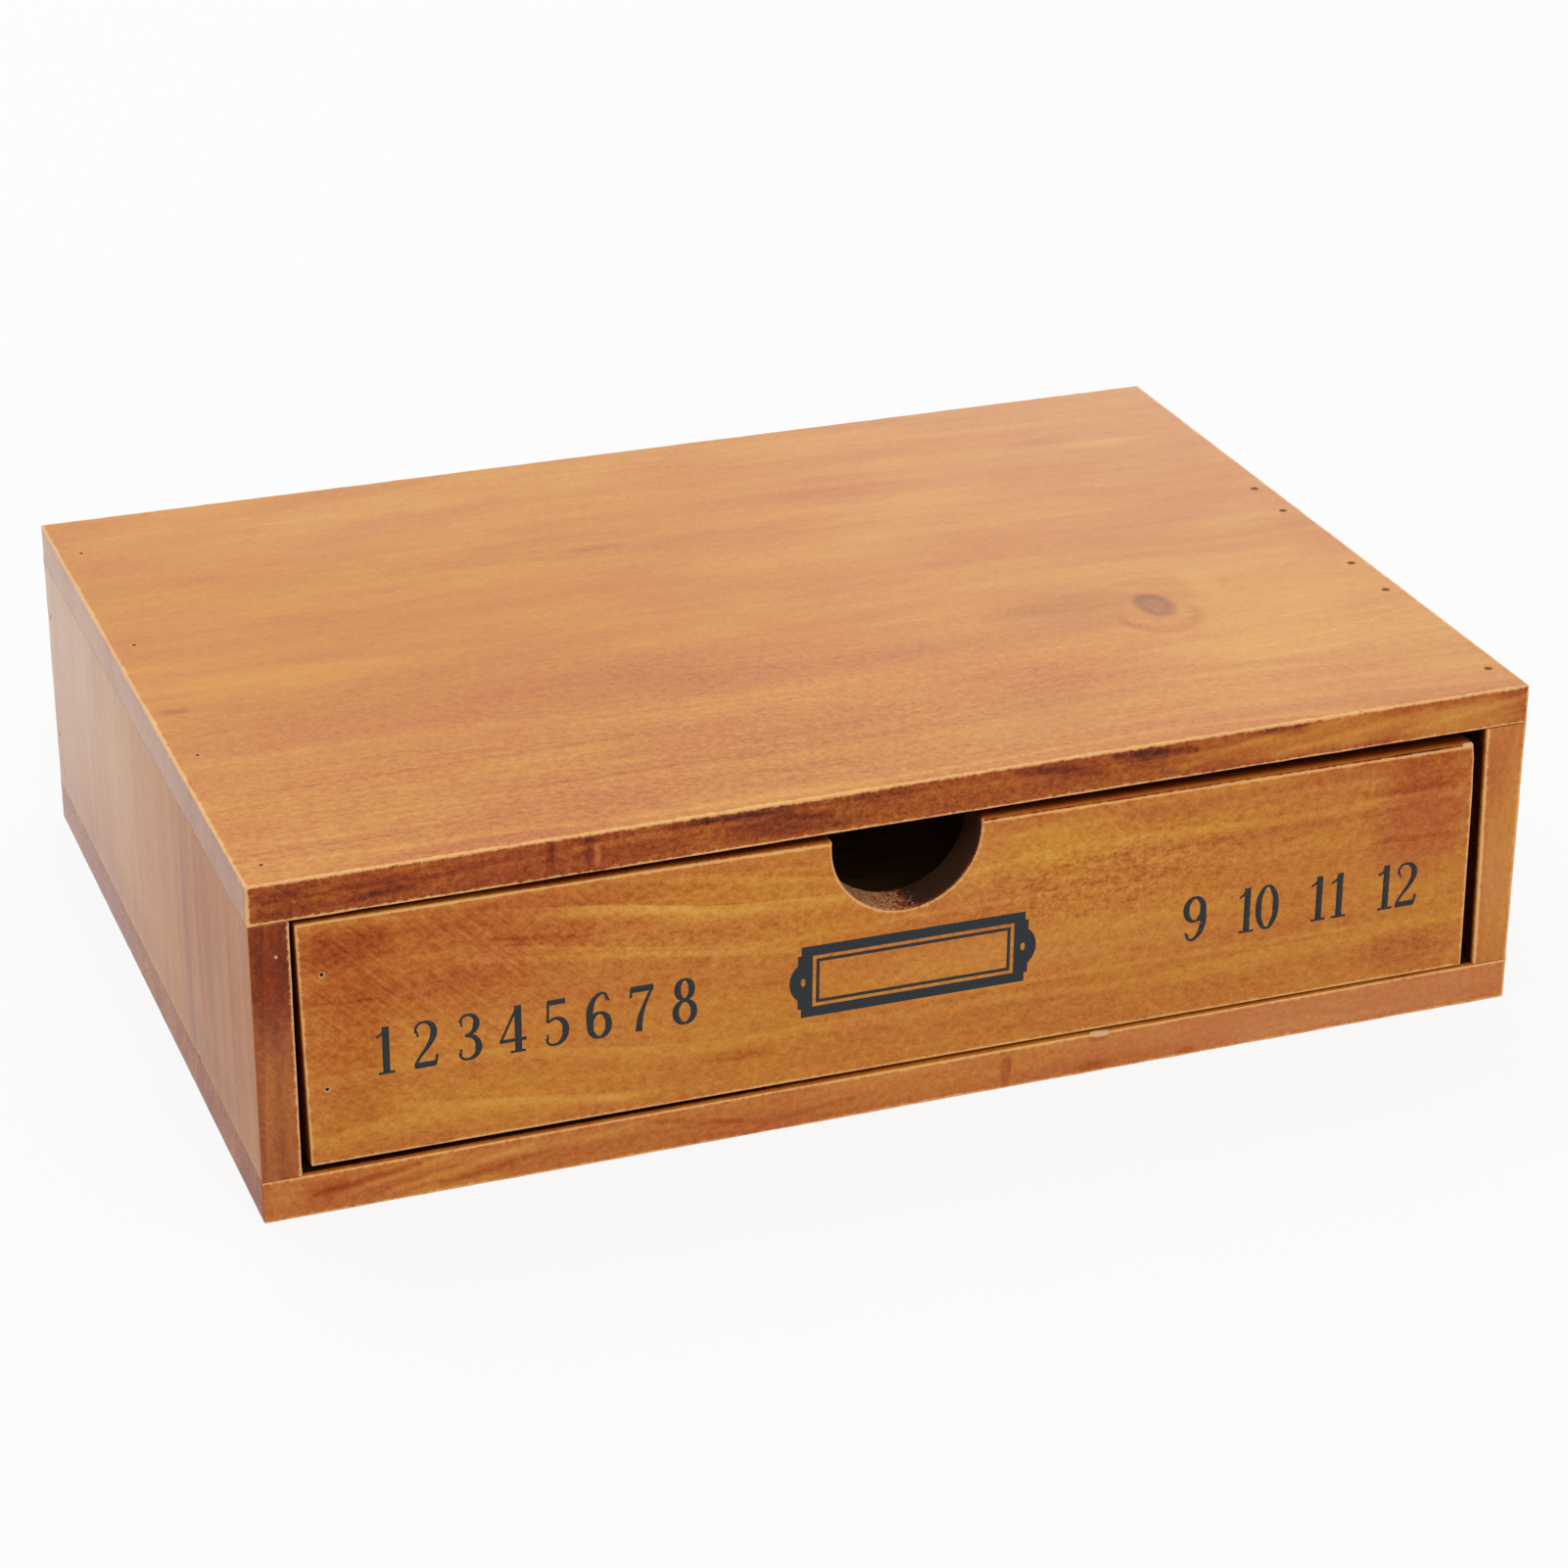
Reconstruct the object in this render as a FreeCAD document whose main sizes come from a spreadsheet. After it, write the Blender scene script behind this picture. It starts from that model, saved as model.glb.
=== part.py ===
# A desktop box of stained softwood boards with one full-width drawer.
# Millimetres. The origin is the middle of the underside, +X to the right, +Y to the back, +Z up.
# The case is five boards: the top and the bottom run over the ends of the two sides, and the back
# stands between them. The drawer is a thick front, two sides, a back and a thin bottom nailed on
# from below. Brads hold all of it, with their heads set a little below the wood.
import FreeCAD, Part
import os
import re
import Sketcher

SIZES = [
    # The case
    ("case_width", 260.0),
    ("case_depth", 185.0),
    ("case_height", 70.0),
    ("top_thick", 8.3),
    ("floor_thick", 8.9),
    ("left_side_thick", 7.8),
    # The right side is planed a little thinner towards the floor
    ("right_side_thick_high", 8.9),
    ("right_side_thick_low", 7.7),
    ("back_thick", 8.0),
    ("eased_edge", 0.5),
    # The drawer front, which hangs slightly out of square in its opening
    ("front_thick", 9.0),
    ("front_recess", 0.3),
    ("gap_left_high", 0.9),
    ("gap_left_low", 1.8),
    ("gap_right_high", 2.3),
    ("gap_right_low", 2.8),
    ("gap_top_left", 1.1),
    ("gap_top_right", 2.6),
    ("gap_floor_left", 1.5),
    ("gap_floor_right", 0.35),
    # The finger notch, bored near the top edge of the front
    ("notch_diameter", 30.4),
    ("notch_from_left", 127.6),
    ("notch_height", 58.3),
    # The drawer behind its front
    ("drawer_side_thick", 7.0),
    ("drawer_back_thick", 7.0),
    ("drawer_bottom_thick", 3.0),
    ("drawer_from_left_face", 9.8),
    ("drawer_from_right_face", 11.4),
    ("drawer_side_top_gap", 4.7),
    ("drawer_rear_gap", 1.5),
    ("slide_clearance", 0.35),
    # Brads: a set head, a shank and a short point
    ("brad_diameter", 1.0),
    ("brad_head_diameter", 1.3),
    ("brad_head_thick", 0.6),
    ("brad_point", 1.6),
    ("brad_set", 0.5),
    ("panel_brad_set", 0.2),
    ("case_brad_length", 25.0),
    ("drawer_brad_length", 20.0),
    ("panel_brad_length", 12.0),
    ("pit_overrun", 1.0),
    # Brads through the top, measured from the front, and how far in from each end they stand
    ("top_left_inset", 5.0),
    ("top_left_1", 8.0),
    ("top_left_2", 58.0),
    ("top_left_3", 114.0),
    ("top_left_4", 166.0),
    ("top_right_inset", 3.9),
    ("top_right_1", 10.0),
    ("top_right_2", 53.5),
    ("top_right_3", 69.0),
    ("top_right_4", 101.0),
    ("top_right_5", 115.0),
    # Brads through the bottom
    ("floor_inset", 4.0),
    ("floor_1", 11.0),
    ("floor_2", 63.0),
    ("floor_3", 119.0),
    ("floor_4", 168.0),
    # Brads through the sides into the ends of the back
    ("back_low", 22.0),
    ("back_high", 50.0),
    # Brads through the drawer front into the ends of the drawer sides, heights above the table
    ("front_left_high", 49.8),
    ("front_left_low", 26.0),
    ("front_right_high", 45.7),
    ("front_right_low", 18.6),
    # Brads through the drawer sides into the ends of the drawer back
    ("drawer_back_low", 22.0),
    ("drawer_back_high", 47.0),
    # Brads through the drawer bottom, spread evenly between these distances from its ends
    ("panel_side_margin", 18.0),
    ("panel_back_margin", 40.0),
]

TOP_LEFT_BRADS = ["top_left_1", "top_left_2", "top_left_3", "top_left_4"]
TOP_RIGHT_BRADS = ["top_right_1", "top_right_2", "top_right_3", "top_right_4", "top_right_5"]
FLOOR_BRADS = ["floor_1", "floor_2", "floor_3", "floor_4"]
PANEL_BRADS_PER_SIDE = 4
PANEL_BRADS_AT_BACK = 3

# Places that many pieces share, as formulas on the sheet's names
LEFT_FACE = "-case_width / 2"
RIGHT_FACE = "case_width / 2"
FRONT_FACE = "-case_depth / 2"
SIDE_HEIGHT = "(case_height - top_thick - floor_thick)"
CEILING = "(case_height - top_thick)"
FRONT_START = "(front_recess - case_depth / 2)"
BOX_START = f"({FRONT_START} + front_thick)"
BOX_END = "(case_depth / 2 - back_thick - drawer_rear_gap)"
BOX_LENGTH = f"({BOX_END} - {BOX_START})"
BOX_LEFT = "(drawer_from_left_face - case_width / 2)"
BOX_RIGHT = "(case_width / 2 - drawer_from_right_face)"
PANEL_UNDERSIDE = "(floor_thick + slide_clearance)"
BOX_FLOOR = f"({PANEL_UNDERSIDE} + drawer_bottom_thick)"
BOX_TOP = f"({CEILING} - drawer_side_top_gap)"
BOX_HEIGHT = f"({BOX_TOP} - {BOX_FLOOR})"

# Which way a brad is driven: the axis, its sign, and the turn that lays a primitive along it
DRIVEN = {
    "down": ("z", -1, FreeCAD.Rotation(FreeCAD.Vector(1, 0, 0), 180)),
    "up": ("z", 1, FreeCAD.Rotation()),
    "rearward": ("y", 1, FreeCAD.Rotation(FreeCAD.Vector(1, 0, 0), -90)),
    "rightward": ("x", 1, FreeCAD.Rotation(FreeCAD.Vector(0, 1, 0), 90)),
    "leftward": ("x", -1, FreeCAD.Rotation(FreeCAD.Vector(0, 1, 0), -90)),
}

doc = FreeCAD.newDocument("drawer_box")
subparts = []


def make_sheet():
    sheet = doc.addObject("Spreadsheet::Sheet", "sizes")
    for row, (name, value) in enumerate(SIZES, start=1):
        sheet.set(f"A{row}", name)
        sheet.set(f"B{row}", str(value))
        sheet.setAlias(f"B{row}", name)
    doc.recompute()


def formula(text):
    """A formula written with the sheet's names, as an expression that an object can hold."""
    return re.sub(r"([a-z]\w*)", r"sizes.\1", text)


def bind(thing, prop, text):
    thing.setExpression(prop, formula(text))


def place(thing, corner):
    for axis, text in zip("xyz", corner):
        bind(thing, f".Placement.Base.{axis}", text)


def keep(thing, name):
    thing.Label = name
    subparts.append(thing)
    return thing


def origin_plane(body, role):
    return next(plane for plane in body.Origin.OriginFeatures if plane.Role == role)


def new_sketch(body, name, role):
    sketch = body.newObject("Sketcher::SketchObject", name)
    sketch.AttachmentSupport = [(origin_plane(body, role), "")]
    sketch.MapMode = "FlatFace"
    return sketch


def hold_point(sketch, line, end, name, across, up):
    """Hold one end of a line at formulas for its distances from the sketch's origin."""
    for kind, text in (("DistanceX", across), ("DistanceY", up)):
        point = sketch.getPoint(line, end)
        start = point.x if kind == "DistanceX" else point.y
        index = sketch.addConstraint(Sketcher.Constraint(kind, -1, 1, line, end, start))
        label = f"{name}_{kind}"
        sketch.renameConstraint(index, label)
        bind(sketch, f"Constraints.{label}", text)


def outline(sketch, corners):
    """A closed outline of straight lines. Each corner has a rough place and two formulas,
    measured from the left face and from the table."""
    count = len(corners)
    for index in range(count):
        here, there = corners[index][0], corners[(index + 1) % count][0]
        line = Part.LineSegment(FreeCAD.Vector(*here, 0), FreeCAD.Vector(*there, 0))
        sketch.addGeometry(line, False)
    for index in range(count):
        following = (index + 1) % count
        sketch.addConstraint(Sketcher.Constraint("Coincident", index, 2, following, 1))
    for index, (rough, across, up) in enumerate(corners):
        hold_point(sketch, index, 1, f"corner{index}", across, up)


def rectangle(sketch, width, height):
    """A rectangle with one corner on the sketch's origin."""
    corners = [FreeCAD.Vector(x, y, 0) for x, y in ((0, 0), (90, 0), (90, 40), (0, 40))]
    for index in range(4):
        sketch.addGeometry(Part.LineSegment(corners[index], corners[(index + 1) % 4]), False)
    for index in range(4):
        sketch.addConstraint(Sketcher.Constraint("Coincident", index, 2, (index + 1) % 4, 1))
        sketch.addConstraint(Sketcher.Constraint("Vertical" if index % 2 else "Horizontal", index))
    sketch.addConstraint(Sketcher.Constraint("Coincident", 0, 1, -1, 1))
    for name, kind, line, text in (("width", "DistanceX", 0, width), ("height", "DistanceY", 1, height)):
        index = sketch.addConstraint(Sketcher.Constraint(kind, line, 1, line, 2, 40.0))
        sketch.renameConstraint(index, name)
        bind(sketch, f"Constraints.{name}", text)


def pad(body, sketch, thickness, backwards=False):
    feature = body.newObject("PartDesign::Pad", f"{body.Name}_pad")
    feature.Profile = sketch
    feature.Reversed = backwards
    bind(feature, "Length", thickness)
    sketch.Visibility = False
    doc.recompute()
    return feature


def ease_edges(body, solid):
    """Every arris is rubbed down a little, as with one pass of sandpaper."""
    feature = body.newObject("PartDesign::Fillet", f"{body.Name}_eased")
    feature.Base = (solid, ["Edge1"])
    feature.UseAllEdges = True
    bind(feature, "Radius", "eased_edge")
    doc.recompute()
    return feature


def board(name, corner, width, depth, thickness):
    """A straight board from its lowest corner: size along X, along Y, and along Z."""
    body = doc.addObject("PartDesign::Body", name + "_blank")
    sketch = new_sketch(body, name + "_plan", "XY_Plane")
    rectangle(sketch, width, depth)
    ease_edges(body, pad(body, sketch, thickness))
    place(body, corner)
    return body


def cylinder(name, radius, height):
    solid = doc.addObject("Part::Cylinder", name)
    bind(solid, "Radius", radius)
    bind(solid, "Height", height)
    return solid


def cone(name, radius, height):
    """A brad's point, which starts as wide as the shank and ends almost sharp."""
    solid = doc.addObject("Part::Cone", name)
    bind(solid, "Radius1", radius)
    bind(solid, "Radius2", f"{radius} / 8")
    bind(solid, "Height", height)
    return solid


def fuse(name, shapes):
    solid = doc.addObject("Part::MultiFuse", name)
    solid.Shapes = shapes
    return solid


def lay(solid, spot, way, start):
    """Lay a primitive along the way a brad is driven, starting this far below the surface."""
    axis, sign, turn = DRIVEN[way]
    solid.Placement = FreeCAD.Placement(FreeCAD.Vector(), turn)
    corner = list(spot)
    where = "xyz".index(axis)
    corner[where] = f"{spot[where]} {'+' if sign > 0 else '-'} ({start})"
    place(solid, corner)


def brad_row(name, spots, way, length, set_depth="brad_set"):
    """A row of brads driven one way from spots on a surface, and the holes that they fill."""
    brads = []
    pits = []
    for number, spot in enumerate(spots, start=1):
        tag = f"{name}_{number}"
        head = cylinder(tag + "_head", "brad_head_diameter / 2", "brad_head_thick")
        lay(head, spot, way, set_depth)
        shank = cylinder(tag + "_shank", "brad_diameter / 2", f"{length} - brad_head_thick - brad_point")
        lay(shank, spot, way, f"{set_depth} + brad_head_thick")
        point = cone(tag + "_point", "brad_diameter / 2", "brad_point")
        lay(point, spot, way, f"{set_depth} + {length} - brad_point")
        pit = cylinder(tag + "_pit", "brad_head_diameter / 2", f"{set_depth} + pit_overrun")
        lay(pit, spot, way, "-pit_overrun")
        brads += [head, shank, point]
        pits.append(pit)
    row = keep(fuse(name, brads), name)
    holes = fuse(name + "_holes", brads + pits)
    return row, holes


def bored(name, body, *hole_rows):
    """A board with the holes of every brad that goes into it."""
    tool = hole_rows[0]
    if len(hole_rows) > 1:
        tool = fuse(name + "_bores", list(hole_rows))
    cut = doc.addObject("Part::Cut", name)
    cut.Base = body
    cut.Tool = tool
    return keep(cut, name)


def from_left(distance):
    return f"{distance} - case_width / 2"


def from_right(distance):
    return f"case_width / 2 - {distance}"


def from_front(distance):
    return f"{distance} - case_depth / 2"


def evenly(first, last, count):
    """Formulas for places spread evenly from one formula to another."""
    return [f"{first} + ({last} - ({first})) * {step} / {count - 1}" for step in range(count)]


def case_brads():
    rows = {}
    top_left = [(from_left("top_left_inset"), from_front(y), "case_height") for y in TOP_LEFT_BRADS]
    top_right = [(from_right("top_right_inset"), from_front(y), "case_height") for y in TOP_RIGHT_BRADS]
    rows["top_left"] = brad_row("top_nails_left", top_left, "down", "case_brad_length")[1]
    rows["top_right"] = brad_row("top_nails_right", top_right, "down", "case_brad_length")[1]
    floor_left = [(from_left("floor_inset"), from_front(y), "0") for y in FLOOR_BRADS]
    floor_right = [(from_right("floor_inset"), from_front(y), "0") for y in FLOOR_BRADS]
    rows["floor_left"] = brad_row("bottom_nails_left", floor_left, "up", "case_brad_length")[1]
    rows["floor_right"] = brad_row("bottom_nails_right", floor_right, "up", "case_brad_length")[1]
    middle_of_back = "case_depth / 2 - back_thick / 2"
    heights = ("back_low", "back_high")
    back_left = [(LEFT_FACE, middle_of_back, z) for z in heights]
    back_right = [(RIGHT_FACE, middle_of_back, z) for z in heights]
    rows["back_left"] = brad_row("back_nails_left", back_left, "rightward", "case_brad_length")[1]
    rows["back_right"] = brad_row("back_nails_right", back_right, "leftward", "case_brad_length")[1]
    return rows


def right_side_blank():
    """The right side, from a section across it that is thinner at the floor than at the top."""
    body = doc.addObject("PartDesign::Body", "right_side_board_blank")
    sketch = new_sketch(body, "right_side_section", "XZ_Plane")
    outline(sketch, [
        ((250, 5), "case_width - right_side_thick_low", "floor_thick"),
        ((260, 5), "case_width", "floor_thick"),
        ((260, 60), "case_width", CEILING),
        ((250, 60), "case_width - right_side_thick_high", CEILING),
    ])
    ease_edges(body, pad(body, sketch, "case_depth", backwards=True))
    place(body, (LEFT_FACE, FRONT_FACE, "0"))
    return body


def make_case(rows):
    top = board("top_board", (LEFT_FACE, FRONT_FACE, CEILING), "case_width", "case_depth", "top_thick")
    bored("top_board", top, rows["top_left"], rows["top_right"])
    floor = board("bottom_board", (LEFT_FACE, FRONT_FACE, "0"), "case_width", "case_depth", "floor_thick")
    bored("bottom_board", floor, rows["floor_left"], rows["floor_right"])
    corner = (LEFT_FACE, FRONT_FACE, "floor_thick")
    left = board("left_side_board", corner, "left_side_thick", "case_depth", SIDE_HEIGHT)
    bored("left_side_board", left, rows["top_left"], rows["floor_left"], rows["back_left"])
    bored("right_side_board", right_side_blank(), rows["top_right"], rows["floor_right"], rows["back_right"])
    make_case_back(rows)


def make_case_back(rows):
    """The back, whose right end is cut to the slope of the right side."""
    body = doc.addObject("PartDesign::Body", "back_board_blank")
    sketch = new_sketch(body, "back_outline", "XZ_Plane")
    outline(sketch, [
        ((5, 5), "left_side_thick", "floor_thick"),
        ((250, 5), "case_width - right_side_thick_low", "floor_thick"),
        ((250, 60), "case_width - right_side_thick_high", CEILING),
        ((5, 60), "left_side_thick", CEILING),
    ])
    ease_edges(body, pad(body, sketch, "back_thick", backwards=True))
    place(body, (LEFT_FACE, "case_depth / 2 - back_thick", "0"))
    bored("back_board", body, rows["back_left"], rows["back_right"])


def drawer_brads():
    rows = {}
    middle_left = f"{BOX_LEFT} + drawer_side_thick / 2"
    middle_right = f"{BOX_RIGHT} - drawer_side_thick / 2"
    left = [(middle_left, FRONT_START, z) for z in ("front_left_low", "front_left_high")]
    right = [(middle_right, FRONT_START, z) for z in ("front_right_low", "front_right_high")]
    length = "drawer_brad_length"
    rows["front_left"] = brad_row("drawer_front_nails_left", left, "rearward", length)[1]
    rows["front_right"] = brad_row("drawer_front_nails_right", right, "rearward", length)[1]
    middle_of_back = f"{BOX_END} - drawer_back_thick / 2"
    heights = ("drawer_back_low", "drawer_back_high")
    left = [(BOX_LEFT, middle_of_back, z) for z in heights]
    right = [(BOX_RIGHT, middle_of_back, z) for z in heights]
    rows["back_left"] = brad_row("drawer_back_nails_left", left, "rightward", length)[1]
    rows["back_right"] = brad_row("drawer_back_nails_right", right, "leftward", length)[1]
    first = f"{BOX_START} + panel_side_margin"
    last = f"{BOX_END} - drawer_back_thick - panel_side_margin"
    places = evenly(first, last, PANEL_BRADS_PER_SIDE)
    left = [(middle_left, y, PANEL_UNDERSIDE) for y in places]
    right = [(middle_right, y, PANEL_UNDERSIDE) for y in places]
    first = f"{BOX_LEFT} + panel_back_margin"
    last = f"{BOX_RIGHT} - panel_back_margin"
    back = [(x, middle_of_back, PANEL_UNDERSIDE) for x in evenly(first, last, PANEL_BRADS_AT_BACK)]
    for name, spots in (("left", left), ("right", right), ("back", back)):
        row = brad_row(f"drawer_bottom_nails_{name}", spots, "up", "panel_brad_length", "panel_brad_set")
        rows["panel_" + name] = row[1]
    return rows


def drawer_front_blank():
    """The front: a board a little out of square, with a round finger notch bored through it."""
    body = doc.addObject("PartDesign::Body", "drawer_front_blank")
    sketch = new_sketch(body, "drawer_front_outline", "XZ_Plane")
    outline(sketch, [
        ((9, 10), "left_side_thick + gap_left_low", "floor_thick + gap_floor_left"),
        ((249, 9), "case_width - right_side_thick_low - gap_right_low", "floor_thick + gap_floor_right"),
        ((249, 59), "case_width - right_side_thick_high - gap_right_high", f"{CEILING} - gap_top_right"),
        ((9, 60), "left_side_thick + gap_left_high", f"{CEILING} - gap_top_left"),
    ])
    whole = pad(body, sketch, "front_thick", backwards=True)
    circle_sketch = new_sketch(body, "notch_circle", "XZ_Plane")
    circle = Part.Circle(FreeCAD.Vector(127, 58, 0), FreeCAD.Vector(0, 0, 1), 15)
    circle_sketch.addGeometry(circle, False)
    index = circle_sketch.addConstraint(Sketcher.Constraint("Diameter", 0, 30.0))
    circle_sketch.renameConstraint(index, "bore")
    bind(circle_sketch, "Constraints.bore", "notch_diameter")
    hold_point(circle_sketch, 0, 3, "centre", "notch_from_left", "notch_height")
    notch = body.newObject("PartDesign::Pocket", "finger_notch")
    notch.Profile = circle_sketch
    notch.Type = "ThroughAll"
    circle_sketch.Visibility = False
    doc.recompute()
    if notch.Shape.Volume >= whole.Shape.Volume:
        raise RuntimeError("the finger notch cut nothing")
    ease_edges(body, notch)
    place(body, (LEFT_FACE, FRONT_START, "0"))
    return body


def make_drawer(rows):
    bored("drawer_front", drawer_front_blank(), rows["front_left"], rows["front_right"])
    corner = (BOX_LEFT, BOX_START, BOX_FLOOR)
    left = board("drawer_left_side", corner, "drawer_side_thick", BOX_LENGTH, BOX_HEIGHT)
    bored("drawer_left_side", left, rows["front_left"], rows["back_left"], rows["panel_left"])
    corner = (f"{BOX_RIGHT} - drawer_side_thick", BOX_START, BOX_FLOOR)
    right = board("drawer_right_side", corner, "drawer_side_thick", BOX_LENGTH, BOX_HEIGHT)
    bored("drawer_right_side", right, rows["front_right"], rows["back_right"], rows["panel_right"])
    corner = (f"{BOX_LEFT} + drawer_side_thick", f"{BOX_END} - drawer_back_thick", BOX_FLOOR)
    width = f"{BOX_RIGHT} - {BOX_LEFT} - 2 * drawer_side_thick"
    back = board("drawer_back", corner, width, "drawer_back_thick", BOX_HEIGHT)
    bored("drawer_back", back, rows["back_left"], rows["back_right"], rows["panel_back"])
    corner = (BOX_LEFT, BOX_START, PANEL_UNDERSIDE)
    panel = board("drawer_bottom", corner, f"{BOX_RIGHT} - {BOX_LEFT}", BOX_LENGTH, "drawer_bottom_thick")
    bored("drawer_bottom", panel, rows["panel_left"], rows["panel_right"], rows["panel_back"])


def check_everything():
    doc.recompute()
    for thing in doc.Objects:
        if "Invalid" in thing.State or "Error" in thing.State:
            raise RuntimeError(f"{thing.Name} did not build: {thing.State}")
    for thing in subparts:
        if thing.Shape.isNull() or not thing.Shape.isValid():
            raise RuntimeError(f"{thing.Label} has no valid shape")


def write_everything():
    os.makedirs("parts", exist_ok=True)
    for thing in subparts:
        thing.Shape.exportStep(f"parts/{thing.Label}.step")
        box = thing.Shape.BoundBox
        lowest = f"{box.XMin:.2f} {box.YMin:.2f} {box.ZMin:.2f}"
        highest = f"{box.XMax:.2f} {box.YMax:.2f} {box.ZMax:.2f}"
        count = len(thing.Shape.Solids)
        print(f"{thing.Label}: solids {count}, mm3 {thing.Shape.Volume:.1f}, {lowest} to {highest}")


make_sheet()
make_case(case_brads())
make_drawer(drawer_brads())
check_everything()
write_everything()
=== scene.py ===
# %% [markdown]
# A low desktop box of stained softwood, with one drawer that is pulled open by a round finger notch.
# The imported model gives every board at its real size. Here each board is made again with the marks
# that a workshop and a few years on a desk leave on it, and gets wood whose grain runs through it.

# %% Load the frame
import math
from contextlib import contextmanager

import bmesh
import bpy
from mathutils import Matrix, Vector


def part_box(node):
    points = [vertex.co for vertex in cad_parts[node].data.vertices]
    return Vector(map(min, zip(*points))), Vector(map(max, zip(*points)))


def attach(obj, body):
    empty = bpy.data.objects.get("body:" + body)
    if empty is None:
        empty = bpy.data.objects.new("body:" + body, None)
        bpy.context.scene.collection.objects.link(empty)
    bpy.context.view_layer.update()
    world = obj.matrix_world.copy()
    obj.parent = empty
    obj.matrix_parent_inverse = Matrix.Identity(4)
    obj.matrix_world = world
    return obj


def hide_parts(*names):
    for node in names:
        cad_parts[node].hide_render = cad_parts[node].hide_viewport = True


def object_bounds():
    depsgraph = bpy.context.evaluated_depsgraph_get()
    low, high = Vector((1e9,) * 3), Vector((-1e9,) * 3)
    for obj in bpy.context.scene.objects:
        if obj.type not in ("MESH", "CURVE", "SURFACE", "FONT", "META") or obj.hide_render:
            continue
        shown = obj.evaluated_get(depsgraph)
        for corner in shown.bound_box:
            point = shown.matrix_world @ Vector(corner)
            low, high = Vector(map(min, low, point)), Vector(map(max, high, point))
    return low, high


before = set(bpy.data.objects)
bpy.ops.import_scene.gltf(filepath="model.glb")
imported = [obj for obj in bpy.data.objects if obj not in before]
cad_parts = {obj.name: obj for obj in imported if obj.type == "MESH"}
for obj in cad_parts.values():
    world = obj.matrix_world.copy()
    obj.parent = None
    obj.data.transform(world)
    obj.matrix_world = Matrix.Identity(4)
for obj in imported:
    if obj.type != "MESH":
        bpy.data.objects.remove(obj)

MM = 0.001
CAD_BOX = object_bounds()
print("CAD box", CAD_BOX)

# %% [markdown]
# The camera stands where the photograph was taken from: left of the middle, looking down on the top,
# with a long lens so that the box keeps its lines nearly parallel. It leans by a fifth of a degree.

# %% Camera
CAMERA_PLACE = Vector((-0.2707, -0.7443, 0.4031))
CAMERA_AIM = Vector((0.0048, -0.0058, 0.0300))
CAMERA_LEAN = math.radians(0.2)
LENS_MM = 95.3

bpy.ops.object.select_all(action="DESELECT")
bpy.ops.object.camera_add(location=CAMERA_PLACE)
camera = bpy.context.object
camera.rotation_euler = (CAMERA_AIM - CAMERA_PLACE).to_track_quat("-Z", "Y").to_euler()
camera.rotation_euler.rotate_axis("Z", CAMERA_LEAN)
camera.data.lens = LENS_MM
camera.data.sensor_width = 36.0
bpy.context.scene.camera = camera
print("camera", tuple(camera.location), "lens", camera.data.lens)

# %% [markdown]
# Shader maths reads best as plain sums. This class wraps one socket of a node, so that `a * 2 + b`
# adds the Math nodes by itself. Numbers alone stay in Python.

# %% Shader sums
class Value:
    """One socket of a material, with the sums that a Math node can do."""

    def __init__(self, recipe, socket):
        self.recipe = recipe
        self.socket = socket

    def sum(self, operation, *others):
        inputs = dict(enumerate((self,) + others))
        return self.recipe.node("Math", {"operation": operation}, inputs)

    def __add__(self, other):
        return self.sum("ADD", other)

    def __sub__(self, other):
        return self.sum("SUBTRACT", other)

    def __mul__(self, other):
        return self.sum("MULTIPLY", other)

    def __truediv__(self, other):
        return self.sum("DIVIDE", other)

    def __rsub__(self, other):
        return self.recipe.node("Math", {"operation": "SUBTRACT"}, {0: other, 1: self})

    def __abs__(self):
        return self.sum("ABSOLUTE")

    __radd__ = __add__
    __rmul__ = __mul__

    def least(self, other):
        return self.sum("MINIMUM", other)

    def most(self, other):
        return self.sum("MAXIMUM", other)

    def fraction(self):
        return self.sum("FRACT")

    def __pow__(self, power):
        return self.sum("POWER", power)

    def fade(self, start, end, low=0.0, high=1.0):
        """From low to high, softly, while this goes from start to end."""
        inputs = {"Value": self, "From Min": start, "From Max": end, "To Min": low, "To Max": high}
        return self.recipe.node("MapRange", {"interpolation_type": "SMOOTHSTEP"}, inputs)


def smallest(first, *others):
    """The smallest of some numbers or Values."""
    for other in others:
        first = first.least(other) if isinstance(first, Value) else min(first, other)
    return first


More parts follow.
